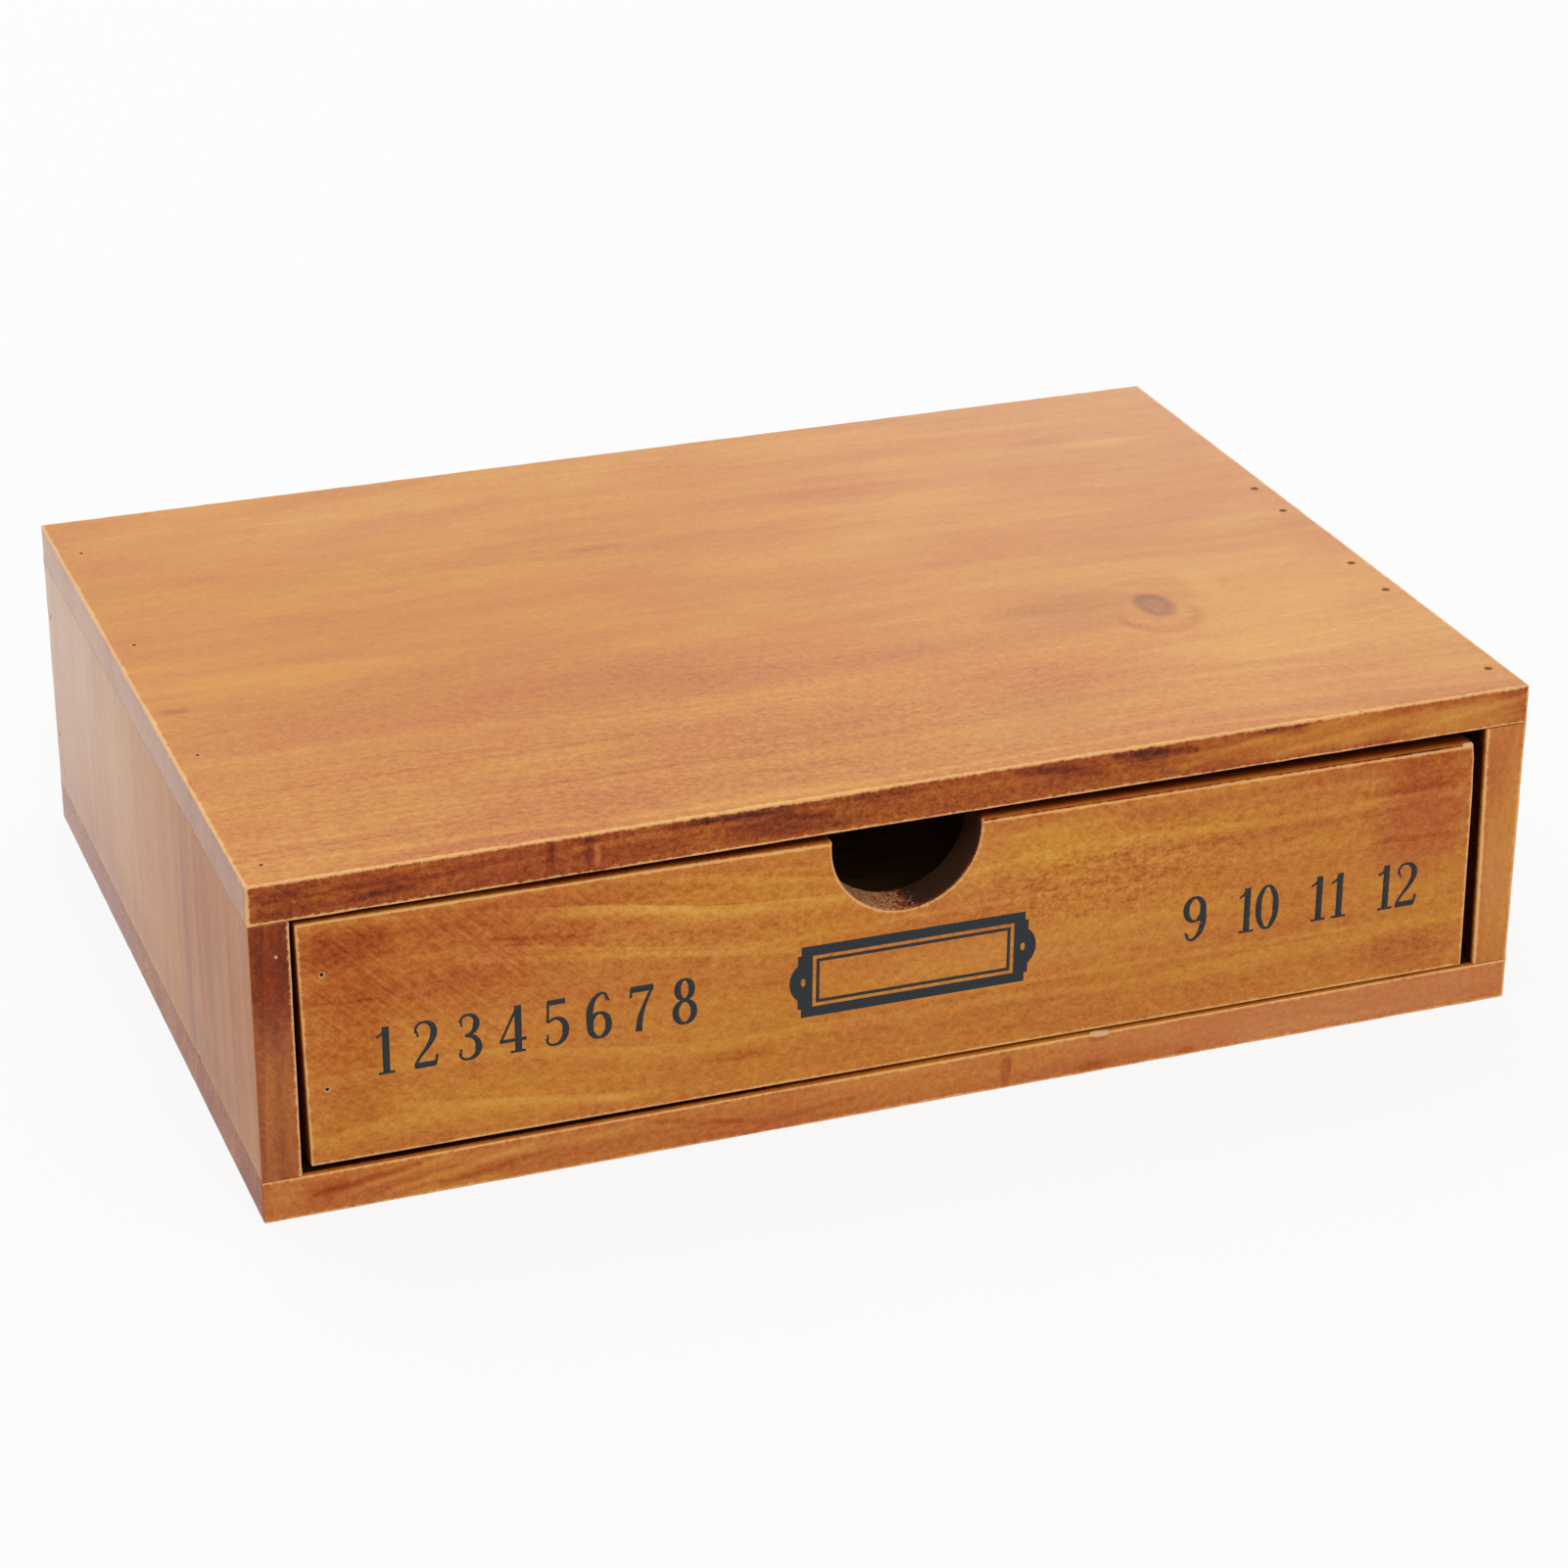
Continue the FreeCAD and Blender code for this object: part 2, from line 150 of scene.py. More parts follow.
class Recipe:
    """A material, or the world, and the one way that its nodes are added."""

    def __init__(self, name, kind="materials"):
        self.material = getattr(bpy.data, kind).new(name)
        self.material.use_nodes = True
        self.tree = self.material.node_tree
        self.tree.nodes.clear()
        self.places = self.node("TexCoord", {}, {}, out="Object")
        self.directions = self.node("TexCoord", {}, {}, out="Normal")

    def node(self, kind, settings, inputs, out=0):
        added = self.tree.nodes.new("ShaderNode" + kind)
        for setting, value in settings.items():
            if setting == "stops":
                self.set_stops(added.color_ramp, value)
            else:
                setattr(added, setting, value)
        for name, value in inputs.items():
            if isinstance(value, Value):
                self.tree.links.new(value.socket, added.inputs[name])
            else:
                added.inputs[name].default_value = value
        return Value(self, added.outputs[out] if len(added.outputs) else None)

    def set_stops(self, ramp, stops):
        while len(ramp.elements) < len(stops):
            ramp.elements.new(1.0)
        for element, (place, colour) in zip(ramp.elements, stops):
            element.position = place
            element.color = (*colour, 1.0)

    def split(self, vector):
        return [self.node("SeparateXYZ", {}, {0: vector}, out=axis) for axis in "XYZ"]

    def vector(self, x, y, z):
        return self.node("CombineXYZ", {}, {"X": x, "Y": y, "Z": z})

    def noise(self, place, scale=1.0, detail=2.0, roughness=0.5):
        """Noise from -1 to 1, about 0 in the middle."""
        inputs = {"Vector": place, "Scale": scale, "Detail": detail, "Roughness": roughness}
        return self.node("TexNoise", {}, inputs) * 2.0 - 1.0

    def blend(self, amount, first, second):
        """Two colours mixed by an amount."""
        settings = {"data_type": "RGBA", "clamp_factor": True}
        return self.node("Mix", settings, {0: amount, 6: first, 7: second}, out=2)

    def colour(self, value, stops):
        return self.node("ValToRGB", {"stops": stops}, {"Fac": value})

    def finish(self, sockets):
        surface = self.node("BsdfPrincipled", {}, sockets)
        self.node("OutputMaterial", {}, {"Surface": surface})
        return self.material

# %% [markdown]
# Photographed on white with soft light from all round: a pale floor, an even white sky, and three
# big lamps. One is in front and above, one is above the back, and one low behind on the right puts
# the pale sheen on the top. The camera and mirror-like rays see the floor and sky near to white, and
# the floor still takes the box's shadow. As a light, the sky is weaker than it looks.

# %% Floor, sky and lamps
FLOOR_SIZE = 8.0
FLOOR_WHITENESS = 0.86
SKY_AS_LIGHT = 0.62
WHITE = (1.0, 1.0, 1.0, 1.0)


def seen_directly(recipe):
    """1 for the rays that show a background: from the camera, from a gloss and through glass."""
    kinds = ("Is Camera Ray", "Is Glossy Ray", "Is Transmission Ray")
    camera_ray, glossy_ray, through_ray = [recipe.node("LightPath", {}, {}, out=kind) for kind in kinds]
    return camera_ray.most(glossy_ray).most(through_ray)


def pale_floor():
    recipe = Recipe("pale_floor")
    lit = recipe.node("BsdfDiffuse", {}, {"Color": (0.80, 0.80, 0.79, 1.0)})
    white = recipe.node("Emission", {}, {"Color": WHITE, "Strength": 1.0})
    mixed = recipe.node("MixShader", {}, {0: seen_directly(recipe) * FLOOR_WHITENESS, 1: lit, 2: white})
    recipe.node("OutputMaterial", {}, {"Surface": mixed})
    return recipe.material


bpy.ops.mesh.primitive_plane_add(size=FLOOR_SIZE)
floor = bpy.context.object
floor.name = "floor"
floor.data.materials.append(pale_floor())


def white_sky():
    recipe = Recipe("white_studio", kind="worlds")
    strength = seen_directly(recipe) * (1.0 - SKY_AS_LIGHT) + SKY_AS_LIGHT
    background = recipe.node("Background", {}, {"Color": WHITE, "Strength": strength})
    recipe.node("OutputWorld", {}, {"Surface": background})
    return recipe.material


bpy.context.scene.world = white_sky()


def lamp(name, place, size, power):
    """A round soft box that looks at the middle of the drawer box."""
    bpy.ops.object.light_add(type="AREA", location=place)
    light = bpy.context.object
    light.name = name
    light.rotation_euler = (Vector((0, 0, 0.03)) - Vector(place)).to_track_quat("-Z", "Y").to_euler()
    light.data.shape = "DISK"
    light.data.size = size
    light.data.energy = power


lamp("front_softbox", (-0.3, -1.3, 1.5), 1.2, 13.0)
lamp("top_softbox", (-0.3, 1.05, 1.45), 1.2, 8.5)
lamp("sheen_softbox", (1.0, 1.5, 0.85), 1.0, 2.6)
bpy.context.scene.view_settings.view_transform = "Standard"

# %% [markdown]
# The box is cut from a light softwood and stained orange-brown. Painting grain on each face would
# break it at every edge, so the grain here is a log: rings round a pith line, streaks drawn out
# along the fibres, and soft clouds where the stain took more or less. All of it is worked out from
# the place in the board, in millimetres, so it runs over the arrises and shows end grain by itself.

# %% Wood that runs through the board
GOLDEN = [(0.0, (0.74, 0.40, 0.100)), (0.33, (0.61, 0.258, 0.036)), (0.57, (0.49, 0.155, 0.014)),
          (0.76, (0.31, 0.068, 0.005)), (0.92, (0.11, 0.020, 0.003)), (1.0, (0.030, 0.008, 0.003))]
REDDISH = [(0.0, (0.66, 0.29, 0.125)), (0.33, (0.55, 0.178, 0.050)), (0.57, (0.40, 0.087, 0.015)),
           (0.76, (0.25, 0.035, 0.004)), (0.92, (0.09, 0.014, 0.003)), (1.0, (0.024, 0.007, 0.003))]
RAW_PALE = (0.66, 0.44, 0.25, 1.0)
RAW_DARK = (0.45, 0.25, 0.12, 1.0)
# The pale colour along the arrises: rubbed-off stain, and a painted highlight on their rounding.
ARRIS_WEAR_AND_HIGHLIGHT = (0.86, 0.48, 0.18, 1.0)
CLEAR_OF_ARRISES = 9.0
VARNISH_IOR = 1.22
CASE_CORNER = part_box("bottom_board")[0]


class Wood(Recipe):
    """Softwood with its fibres along one axis of the row, and its face across another."""

    def __init__(self, name, along, across, depth, seed):
        super().__init__(name)
        millimetres = self.node("VectorMath", {"operation": "SCALE"}, {0: self.places, "Scale": 1 / MM})
        self.axis = dict(zip("xyz", self.split(millimetres)))
        self.way = dict(zip("xyz", self.split(self.directions)))
        self.ruler = {axis: self.axis[axis] - CASE_CORNER[k] / MM for k, axis in enumerate("xyz")}
        self.x, self.y, self.z = self.ruler.values()
        self.along = self.axis[along]
        self.across = self.axis[across]
        self.depth = self.axis[depth]
        self.seed = seed
        wander = self.noise(self.vector(self.along / 150 + seed, self.across / 50, self.depth / 50))
        self.flow = self.across + wander * 7.0
        place = self.vector(self.along / 34 + seed, self.across / 15, self.depth / 15)
        self.cloud = self.noise(place, detail=3.0)
        place = self.vector(self.along / 1.6, self.across / 1.25, self.depth / 1.25 + seed)
        self.pebble = self.noise(place, detail=3.0, roughness=0.85)

    def lean(self, start, end, rise):
        """Turns the grain aside by this rise between two places along the board."""
        self.flow = self.flow + self.along.fade(start, end, 0.0, -rise)

    def away(self, axes, first, second, reach_first, reach_second):
        """How far each point is from a place on a face: 1 at these reaches."""
        beside = (self.ruler[axes[0]] - first) / reach_first
        beyond = (self.ruler[axes[1]] - second) / reach_second
        return (beside * beside + beyond * beyond) ** 0.5

    def swirl(self, away, place):
        """Pushes the grain aside round a knot, up to where away is about 1."""
        near = (away * away * -1.0).sum("EXPONENT")
        self.flow = self.flow - (self.across - place) * near * 0.75

    def streaks(self, length, width, shift=0.0, detail=2.0):
        """Streaks of about this length and width in millimetres, from -1 to 1."""
        along = self.along / length + (self.seed + shift)
        return self.noise(self.vector(along, self.flow / width, self.depth / width), detail=detail)

    def rings(self, pith_across, pith_depth, width):
        """Thin light lines where the hard late wood of each year took less stain."""
        beside = self.flow - pith_across
        below = self.depth - pith_depth
        years = (beside * beside + below * below) ** 0.5 / width
        years = years + self.streaks(120, 26, shift=3.0) * 0.9
        phase = years.fraction()
        chance = self.node("TexWhiteNoise", {"noise_dimensions": "1D"}, {"W": years - phase})
        line = phase.fade(0.55, 0.86) * phase.fade(1.0, 0.93)
        return line * chance.fade(0.1, 1.0, 0.1, 1.0)

    def spot(self, *place):
        """A blotch with a soft ragged edge: 1 in its middle and 0 past its reach."""
        return (self.away(*place) + self.cloud * 0.3).fade(1.0, 0.25)

    def line(self, axes, start, end, width):
        """A soft line on a face from one place to another: 1 on it and 0 beside it."""
        first = self.ruler[axes[0]] - start[0]
        second = self.ruler[axes[1]] - start[1]
        run, rise = end[0] - start[0], end[1] - start[1]
        length = run * run + rise * rise
        share = ((first * run + second * rise) / length).least(1.0).most(0.0)
        beside = first - share * run
        above = second - share * rise
        return ((beside * beside + above * above) ** 0.5 / width + self.cloud * 0.25).fade(1.0, 0.2)

    def facing(self, way):
        """1 on the face that looks this way, such as '-y', and 0 on the others."""
        sign = 1.0 if way[0] == "+" else -1.0
        return (self.way[way[1]] * sign).fade(0.55, 0.85)

    def arris(self, gaps):
        """Millimetres to the nearest arris, from the distance to the nearer end on each axis: it is
        the middle one of the three, because a point on a face has no distance at all to that face."""
        a, b, c = gaps
        return a.least(b).most(a.most(b).least(c))

    def end_gap(self, axis, start, end, rubbed):
        """Distance to an end of the board. An end that isn't rubbed keeps its stain, without the
        pale line of wear and painted highlight, so it is left out, and one that is rubbed on the front
        only counts on the front face."""
        gap = self.axis[axis] * 0.0 + CLEAR_OF_ARRISES
        for sign, place in (("-", start), ("+", end)):
            beside = abs(self.axis[axis] - place)
            if sign + axis in rubbed:
                gap = gap.least(beside)
            elif sign + axis + " on the front" in rubbed:
                gap = gap.least(beside + self.facing("-y") * -CLEAR_OF_ARRISES + CLEAR_OF_ARRISES)
        return gap

    def board_arris(self, low, high, rubbed):
        gaps = [self.end_gap(axis, low[k] / MM, high[k] / MM, rubbed) for k, axis in enumerate("xyz")]
        return self.arris(gaps)

    def drawn(self, lines, axes, darker=1.0):
        """Adds up lines: a start and an end on two axes, how wide, and sometimes how much darker."""
        tone = 0.0
        for start, end, width, *share in lines:
            tone = self.line(axes, start, end, width) * (share[0] if share else darker) + tone
        return tone

    def marked(self, marks, axes):
        """Adds up blotches: a middle and a reach on two axes, then how much darker and redder."""
        tone = 0.0
        red = 0.0
        for *place, darker, redder in marks:
            spot = self.spot(axes, *place)
            tone = spot * darker + tone
            red = spot * redder + red
        return tone, red

    def stained(self, tone, red, raw, arris, roughness=0.40, ior=VARNISH_IOR, worn=0.85, pale=0.85):
        """The finished surface, from how dark and how red the stain is and where bare wood shows."""
        golden = self.colour(tone, GOLDEN)
        reddish = self.colour(tone, REDDISH)
        stain = self.blend(red, golden, reddish)
        fine = self.streaks(4.0, 0.45, shift=9.0)
        streaky = (self.streaks(60, 4, shift=5.0) + fine * 0.5).fade(-0.5, 0.8)
        bare = self.blend(streaky, RAW_PALE, RAW_DARK)
        surface = self.blend(raw, stain, bare)
        # The pale line along the arrises is rubbed wear and also a painted highlight.
        wear_and_highlight = (arris + self.cloud * 0.3 + self.pebble * 0.6).fade(worn, worn * 0.35)
        surface = self.blend(wear_and_highlight * pale, surface, ARRIS_WEAR_AND_HIGHLIGHT)
        rough = fine * 0.05 + self.cloud * 0.06 + raw * 0.3 + roughness
        height = fine * 0.012 + self.pebble * 0.035
        normal = self.node("Bump", {}, {"Strength": 1.0, "Distance": MM, "Height": height})
        return self.finish({"Base Color": surface, "Roughness": rough, "Normal": normal, "IOR": ior})

# %% [markdown]
# Every board starts from the same few layers, mixed in different shares: broad bands, narrower
# streaks, the light ring lines, and above all a pebbled mottling, where the raised grain of cheap
# softwood drank more stain or less. What a board has of its own is a short list of blotches for each
# face, placed against the photograph. Their places are millimetres from the left end, the
# front edge or the table, as one would measure them on the box with a ruler.

# %% Stain for one board
EVERY_END = ("-x", "+x", "-y", "+y", "-z", "+z")
# How much darker the hidden faces are just behind the front: darker stain, and painted shade of the gaps
# between the boards.
GAP_SHADE_TONE = 0.65


def grain(wood, tone, red, pith, ring_width, lines, pebbled, streaky):
    """The layers that all stained boards have in common, added to a board's own tone and redness."""
    broad = wood.streaks(120, 13) * streaky
    middling = wood.streaks(36, 3.6, shift=2.0) * streaky
    fine = wood.streaks(9, 0.8, shift=4.0, detail=3.0) * streaky
    line = wood.rings(*pith, ring_width)
    layers = broad * 0.10 + middling * 0.07 + fine * 0.07 + wood.pebble * pebbled - line * lines
    red = broad * 0.4 + wood.cloud * 0.6 + middling * 0.3 + wood.pebble * 0.7 - line * lines * 2.0 + red
    return layers + tone, red


def stain(node, axes, seed, tone, red, pith, ring_width, faces=(), raw=None, thin=0.0, own=None,
          lines=0.14, pebbled=0.16, streaky=1.0, rubbed=EVERY_END, arris=None, worn=0.85,
          roughness=(0.42, 0.36), pale=0.85, polished_end=0.0, ior=VARNISH_IOR, gap=GAP_SHADE_TONE):
    """The material of one board. faces says how each differs and what marks it has, raw is the side
    that got stain along its front only, gap is how much darker it is just behind the front, darker
    stain that also paints the shade of the gaps, thin is how much the wood shows through everywhere,
    own adds what only this board has, lines, pebbled and streaky are the strengths of the rings, the
    mottling and the streaks, rubbed names the ends whose arrises get a pale line, worn wood that also
    paints their highlight, worn and pale are how wide and how pale, roughness goes from front to back,
    and polished_end is how much smoother the left end is. Some of these can also be functions of wood."""
    wood = Wood("stain_" + node, *axes, seed)
    bare = wood.cloud * thin * 0.3 + thin
    if own is not None:
        own_tone, own_red, own_bare = own(wood)
        tone = own_tone + tone
        red = own_red + red
        bare = own_bare + bare
    for way, darker, redder, marks in faces:
        gate = wood.facing(way)
        mark_tone, mark_red = wood.marked(marks, "xyz".replace(way[1], ""))
        tone = gate * (mark_tone + darker) + tone
        red = gate * (mark_red + redder) + red
    parts = (pebbled, lines, gap, polished_end)
    pebbled, lines, gap, polished_end = [part(wood) if callable(part) else part for part in parts]
    tone, red = grain(wood, tone, red, pith, ring_width, lines, pebbled, streaky)
    if raw is not None:
        inside = wood.facing(raw)
        # Darker stain and painted shade: the hidden face is darker just behind the front, where it lies
        # in a gap.
        tone = inside * wood.y.fade(0.4, 1.8) * gap + tone
        bare = inside * (wood.y + wood.cloud * 7.0).fade(13, 24, 0.0, 0.85) + bare
    near_arris = wood.board_arris(*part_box(node), rubbed) if arris is None else arris(wood)
    rough = wood.y.fade(0, 185, *roughness)
    if polished_end:
        rough = rough - wood.facing("-x") * polished_end
    material = wood.stained(tone, red, bare, near_arris, rough, ior, worn, pale)
    print("stain for", node, "with", len(material.node_tree.nodes), "nodes")
    return material

# %% Stain on the top and bottom boards
TOP_FACE = [
    (70, 62, 95, 16, 0.06, 0.3), (150, 55, 60, 9, 0.05, 0.25), (140, 20, 60, 24, 0.05, -0.1),
    (90, 8, 110, 12, 0.04, 0), (60, 28, 90, 36, 0.06, 0.1), (168, 22, 16, 14, 0.08, -0.2),
    (50, 3, 34, 4, 0.07, 0.4), (60, 160, 80, 26, -0.08, 0), (25, 88, 60, 8, -0.04, -0.35),
    (222, 70, 5, 12, -0.05, -0.35), (232, 58, 26, 22, -0.05, -0.35), (188, 66, 20, 12, 0.12, 0),
    (151, 57, 10, 7, 0.1, -0.1), (245, 60, 26, 60, -0.04, -0.1), (225, 38, 36, 12, -0.06, -0.35),
    (30, 30, 60, 14, -0.02, -0.25), (108, 131.5, 11, 2, 0.11, 0.3), (224, 158, 12, 4, 0.07, 0.25),
    (238, 153, 12, 3, -0.08, -0.35), (90, 177, 110, 16, -0.08, -0.15), (5, 79, 4, 2, 0.06, 0.6),
    (28, 63, 5, 3, -0.05, 0.3), (210, 30, 40, 24, -0.04, 0),
]
TOP_LIGHT_LINES = [
    ((213, 35), (236, 38), 0.9), ((236, 38), (259, 44), 0.9), ((215, 30), (259, 33), 0.8),
    ((228, 48), (259, 52), 0.8), ((192, 40), (204, 42), 1.1), ((3, 27), (38, 26), 0.8),
    ((3, 18), (80, 19), 0.7), ((15, 44), (60, 43), 0.7), ((10, 15), (40, 14.5), 0.6),
]
TOP_DARK_LINES = [
    ((2, 32), (50, 32.5), 0.8), ((4, 65.5), (12, 66.5), 0.7), ((60, 49), (125, 46), 1.2),
    ((5, 12), (35, 11.5), 0.7), ((10, 37), (90, 38), 0.9), ((20, 23), (110, 22), 0.8),
]
EDGE_SWEEPS = [
    ((184, 64), (207, 68.5), 1.2, -0.11), ((204, 63.3), (238, 68), 1.4, -0.09),
    ((232, 64), (259, 67.5), 1.2, -0.07), ((150, 68.8), (168, 66), 1.4, 0.12),
    ((170, 69), (187, 67.6), 1.2, 0.12), ((86, 69.2), (112, 66.2), 1.3, 0.1),
    ((20, 64.4), (44, 67), 1, 0.08), ((10, 67), (34, 69), 0.9, -0.06),
]
# The narrow dark blotches at 57 and 64.4 mm paint shade in the two dents, and the pale one at 66 mm
# paints the highlight beside the second.
TOP_FRONT_EDGE = [
    (222, 66, 44, 6, -0.2, -0.6), (248, 65, 22, 8, -0.22, -0.3), (158, 67.5, 9, 3, 0.08, 0.1),
    (177, 67.2, 8, 3, 0.13, -0.05), (191, 68.6, 6, 1.6, -0.06, 0), (206, 68.6, 9, 2, 0.24, 0.2),
    (206, 66.2, 7, 1.2, -0.07, 0), (221, 63.8, 7, 1.8, -0.16, -0.1), (66, 68.6, 10, 1.4, 0.09, 0.1),
    (100, 69, 12, 1.4, 0.1, 0.1), (178, 64, 14, 2.5, -0.02, -0.3), (98, 67, 14, 4, 0.1, 0.1),
    (108, 64, 14, 2, 0.09, 0), (60, 64, 11, 2, -0.06, 0), (84, 68.4, 8, 1.8, 0.15, 0.1),
    (121, 68.2, 13, 2.2, 0.13, 0), (88, 65, 6, 3, -0.06, -0.3), (8, 66, 9, 6, 0.1, 0.1),
    (24, 66, 12, 4, 0.08, 0.3), (44, 66, 12, 5, -0.02, 0.3), (57, 66, 1.6, 7, 0.12, 0.6),
    (64.4, 66, 1.4, 7, 0.12, 0.6), (66, 65, 0.9, 4, -0.22, 0.2),
]
TOP_LEFT_END = [
    (30, 66, 70, 30, 0.1, 0.05), (142, 66, 24, 30, -0.05, 0),
]
BOTTOM_FRONT_EDGE = [
    (149, 4, 1.5, 6, 0.12, 0.5), (168, 1.5, 5, 2, 0.16, 0.5), (169.1, 7.5, 3, 0.8, 0.14, 0.2),
    (188, 1, 4, 2, 0.14, 0.5), (4, 4, 6, 6, -0.06, -0.3), (13, 5, 7, 3, 0.12, 0.2),
    (36, 1.2, 14, 1.2, -0.08, -0.3), (56, 6.5, 26, 2.5, -0.1, -0.2), (150, 5, 60, 9, -0.06, 0.1),
    (222, 5, 70, 9, -0.21, 0.25), (120, 7.5, 70, 1.5, -0.05, 0),
]


def knot_in_top(wood):
    """The grain climbs to the right, and swirls round the one knot, which is greyer than the wood
    and has a dark outline, with the remains of a ring to its left and in front. Thin lines are added
    too, and painted sheen: paler patches on the top, a paler right part and a paler left end."""
    wood.lean(20, 125, -6)
    knot = wood.away("xy", 207.3, 62.4, 3.4, 5.0)
    wood.swirl(knot * 0.45, -30.1)
    knot = knot + wood.pebble * 0.22
    outline = knot.fade(0.45, 0.92) * knot.fade(1.45, 1.0)
    ring = wood.away("xy", 205.8, 58.6, 8.2, 9.6) + wood.pebble * 0.20 + wood.cloud * 0.12
    ring = ring.fade(0.65, 0.95) * ring.fade(1.25, 0.98) * wood.y.fade(64, 56)
    inside = knot.fade(1.0, 0.6)
    tone = inside * 0.36 + outline * 0.36 + ring * 0.15
    tone = wood.drawn(TOP_LIGHT_LINES, "xy", -0.07) + wood.drawn(TOP_DARK_LINES, "xy", 0.07) + tone
    # Painted sheen: paler patches on the top.
    painted_sheen = wood.spot("xy", 188, 66, 24, 14) + wood.spot("xy", 151, 57, 12, 8)
    painted_sheen = wood.spot("xy", 166, 20, 22, 16) + painted_sheen
    # The knot shows bare wood; the patches and the right part are painted paler, a painted sheen.
    bare = painted_sheen * 0.16 + inside * 0.22 + outline * 0.15 + wood.x.fade(170, 245) * 0.10
    on_top = wood.facing("+z")
    edge = wood.drawn(EDGE_SWEEPS, "xz") * wood.facing("-y")
    red = outline * -0.2 * on_top + edge * 2.0
    # The left end is painted paler too, a painted sheen.
    return tone * on_top + edge, red, bare * on_top + wood.facing("-x") * 0.25


BOTTOM_SWEEPS = [
    ((14, 3), (36, 7.6), 0.9, -0.1), ((24, 2.2), (52, 6.6), 1, -0.11), ((50, 3.6), (74, 7.6), 0.9, -0.08),
    ((10, 4.5), (30, 7), 1.1, 0.13), ((34, 1.8), (62, 5.6), 0.9, 0.11), ((76, 7), (94, 3.6), 0.9, 0.09),
    ((98, 2), (120, 5), 0.8, 0.05),
]


def swept_bottom(wood):
    """The grain rises and falls across the front edge, in golden and in dark sweeps."""
    tone = wood.drawn(BOTTOM_SWEEPS, "xz") * wood.facing("-y")
    return tone, tone * 2.0, 0.0


def bottom_gap_shade(wood):
    """The top face of the bottom board is painted darker in the gap under the drawer, a painted
    shade: strong on the left, fading where the gap closes towards the right, and strong again past
    the drawer's end.
    """
    return wood.x.fade(70, 150, GAP_SHADE_TONE, 0.10) + wood.x.fade(246, 249) * 0.50


def front_pebbled(wood):
    """The mottling of the top board is strongest in front and on the left."""
    strong = wood.y.fade(0, 110, 0.34, 0.07) + wood.facing("-y") * 0.03
    return strong * wood.x.fade(120, 240, 1.0, 0.55)


def top_lines(wood):
    """The light ring lines fade out towards the back."""
    return wood.y.fade(30, 100, 0.08, 0.025)


TOP_STAIN = stain(
    "top_board", "xyz", seed=1.7, tone=0.35, red=0.40, pith=(-20, -40), ring_width=3.4, own=knot_in_top,
    lines=top_lines, pebbled=front_pebbled, streaky=0.75, raw="-z", roughness=(0.40, 0.30), ior=1.28,
    rubbed=("-x", "+x", "-y", "+y", "+z", "-z on the front"),
    faces=[("+z", 0.0, 0.0, TOP_FACE), ("-y", 0.34, 0.35, TOP_FRONT_EDGE),
           ("-x", 0.27, -0.2, TOP_LEFT_END), ("+x", 0.20, 0.0, [])], polished_end=0.22)
BOTTOM_STAIN = stain(
    "bottom_board", "xyz", seed=7.3, tone=0.46, red=0.35, pith=(35, 60), ring_width=4.6, own=swept_bottom,
    raw="+z", gap=bottom_gap_shade, rubbed=("+x", "-y", "+y", "-z", "+z on the front"), roughness=(0.36, 0.20),
    pebbled=0.26, lines=0.08,
    faces=[("-y", -0.02, 0.42, BOTTOM_FRONT_EDGE), ("-x", 0.25, 0.0, []),
           ("+x", 0.20, 0.0, [])])

# %% Stain on the sides and the back
LEFT_FRONT_EDGE = [
    (4, 54, 9, 18, 0.13, 0.2), (4, 26, 9, 22, 0.04, -0.25), (3, 27, 4, 16, -0.05, 0),
    (6.4, 22, 2.4, 22, -0.12, -0.1), (3, 40, 3, 8, 0.06, 0.1),
]
# The wide blotch in front and the two long ones low along the floor darken the face: painted shade, where
# it shows less sheen.
LEFT_FACE = [
    (25, 38, 80, 60, 0.19, -0.25), (17, 36, 2.5, 40, 0.08, 0.2), (25, 36, 2.5, 40, 0.06, 0.2),
    (34, 30, 3, 40, 0.05, 0.1), (44, 30, 3, 40, 0.06, 0.2), (55, 30, 4, 40, 0.1, 0.35),
    (70, 14, 90, 8, 0.08, 0), (130, 26, 18, 10, 0.05, -0.05), (145, 13, 70, 11, 0.15, -0.1),
]
RIGHT_FRONT_EDGE = [
    (254, 28, 3, 24, -0.1, 0.05), (254, 52, 3, 12, 0.03, 0.2), (258, 34, 2.5, 40, -0.08, 0.05),
    (256, 30, 5, 12, -0.03, 0.15),
]


def side_pebbled(wood):
    return wood.facing("-y") * 0.12 + 0.09


def side_sheen_and_bare(wood):
    """The left face is painted paler than the rest, most at its upper back, a painted sheen; low on
    its front edge some bare wood shows.
    """
    back = wood.y.fade(90, 160) * wood.z.fade(25, 58)
    low_in_front = wood.facing("-y") * wood.z.fade(50, 36, 0.0, 0.08)
    return 0.0, 0.0, wood.facing("-x") * (back * 0.32 + 0.14) + low_in_front


def handled(wood):
    """The upper back corner of the left face, painted paler for its sheen, is smoother, where a hand
    holds the box.
    """
    return wood.y.fade(90, 160) * wood.z.fade(20, 50) * 0.13


LEFT_STAIN = stain(
    "left_side_board", "zyx", seed=3.1, tone=0.42, red=0.40, pith=(-70, -90), ring_width=6.5, raw="+x",
    rubbed=("+x", "-y"), roughness=(0.34, 0.16), ior=1.28, pebbled=side_pebbled, streaky=0.55,
    lines=0.07, own=side_sheen_and_bare, polished_end=handled,
    faces=[("-x", 0.0, 0.0, LEFT_FACE), ("-y", 0.28, 0.30, LEFT_FRONT_EDGE)])
RIGHT_INNER_TOP = 121.1
RIGHT_INNER_SLOPE = 1.2 / 52.8


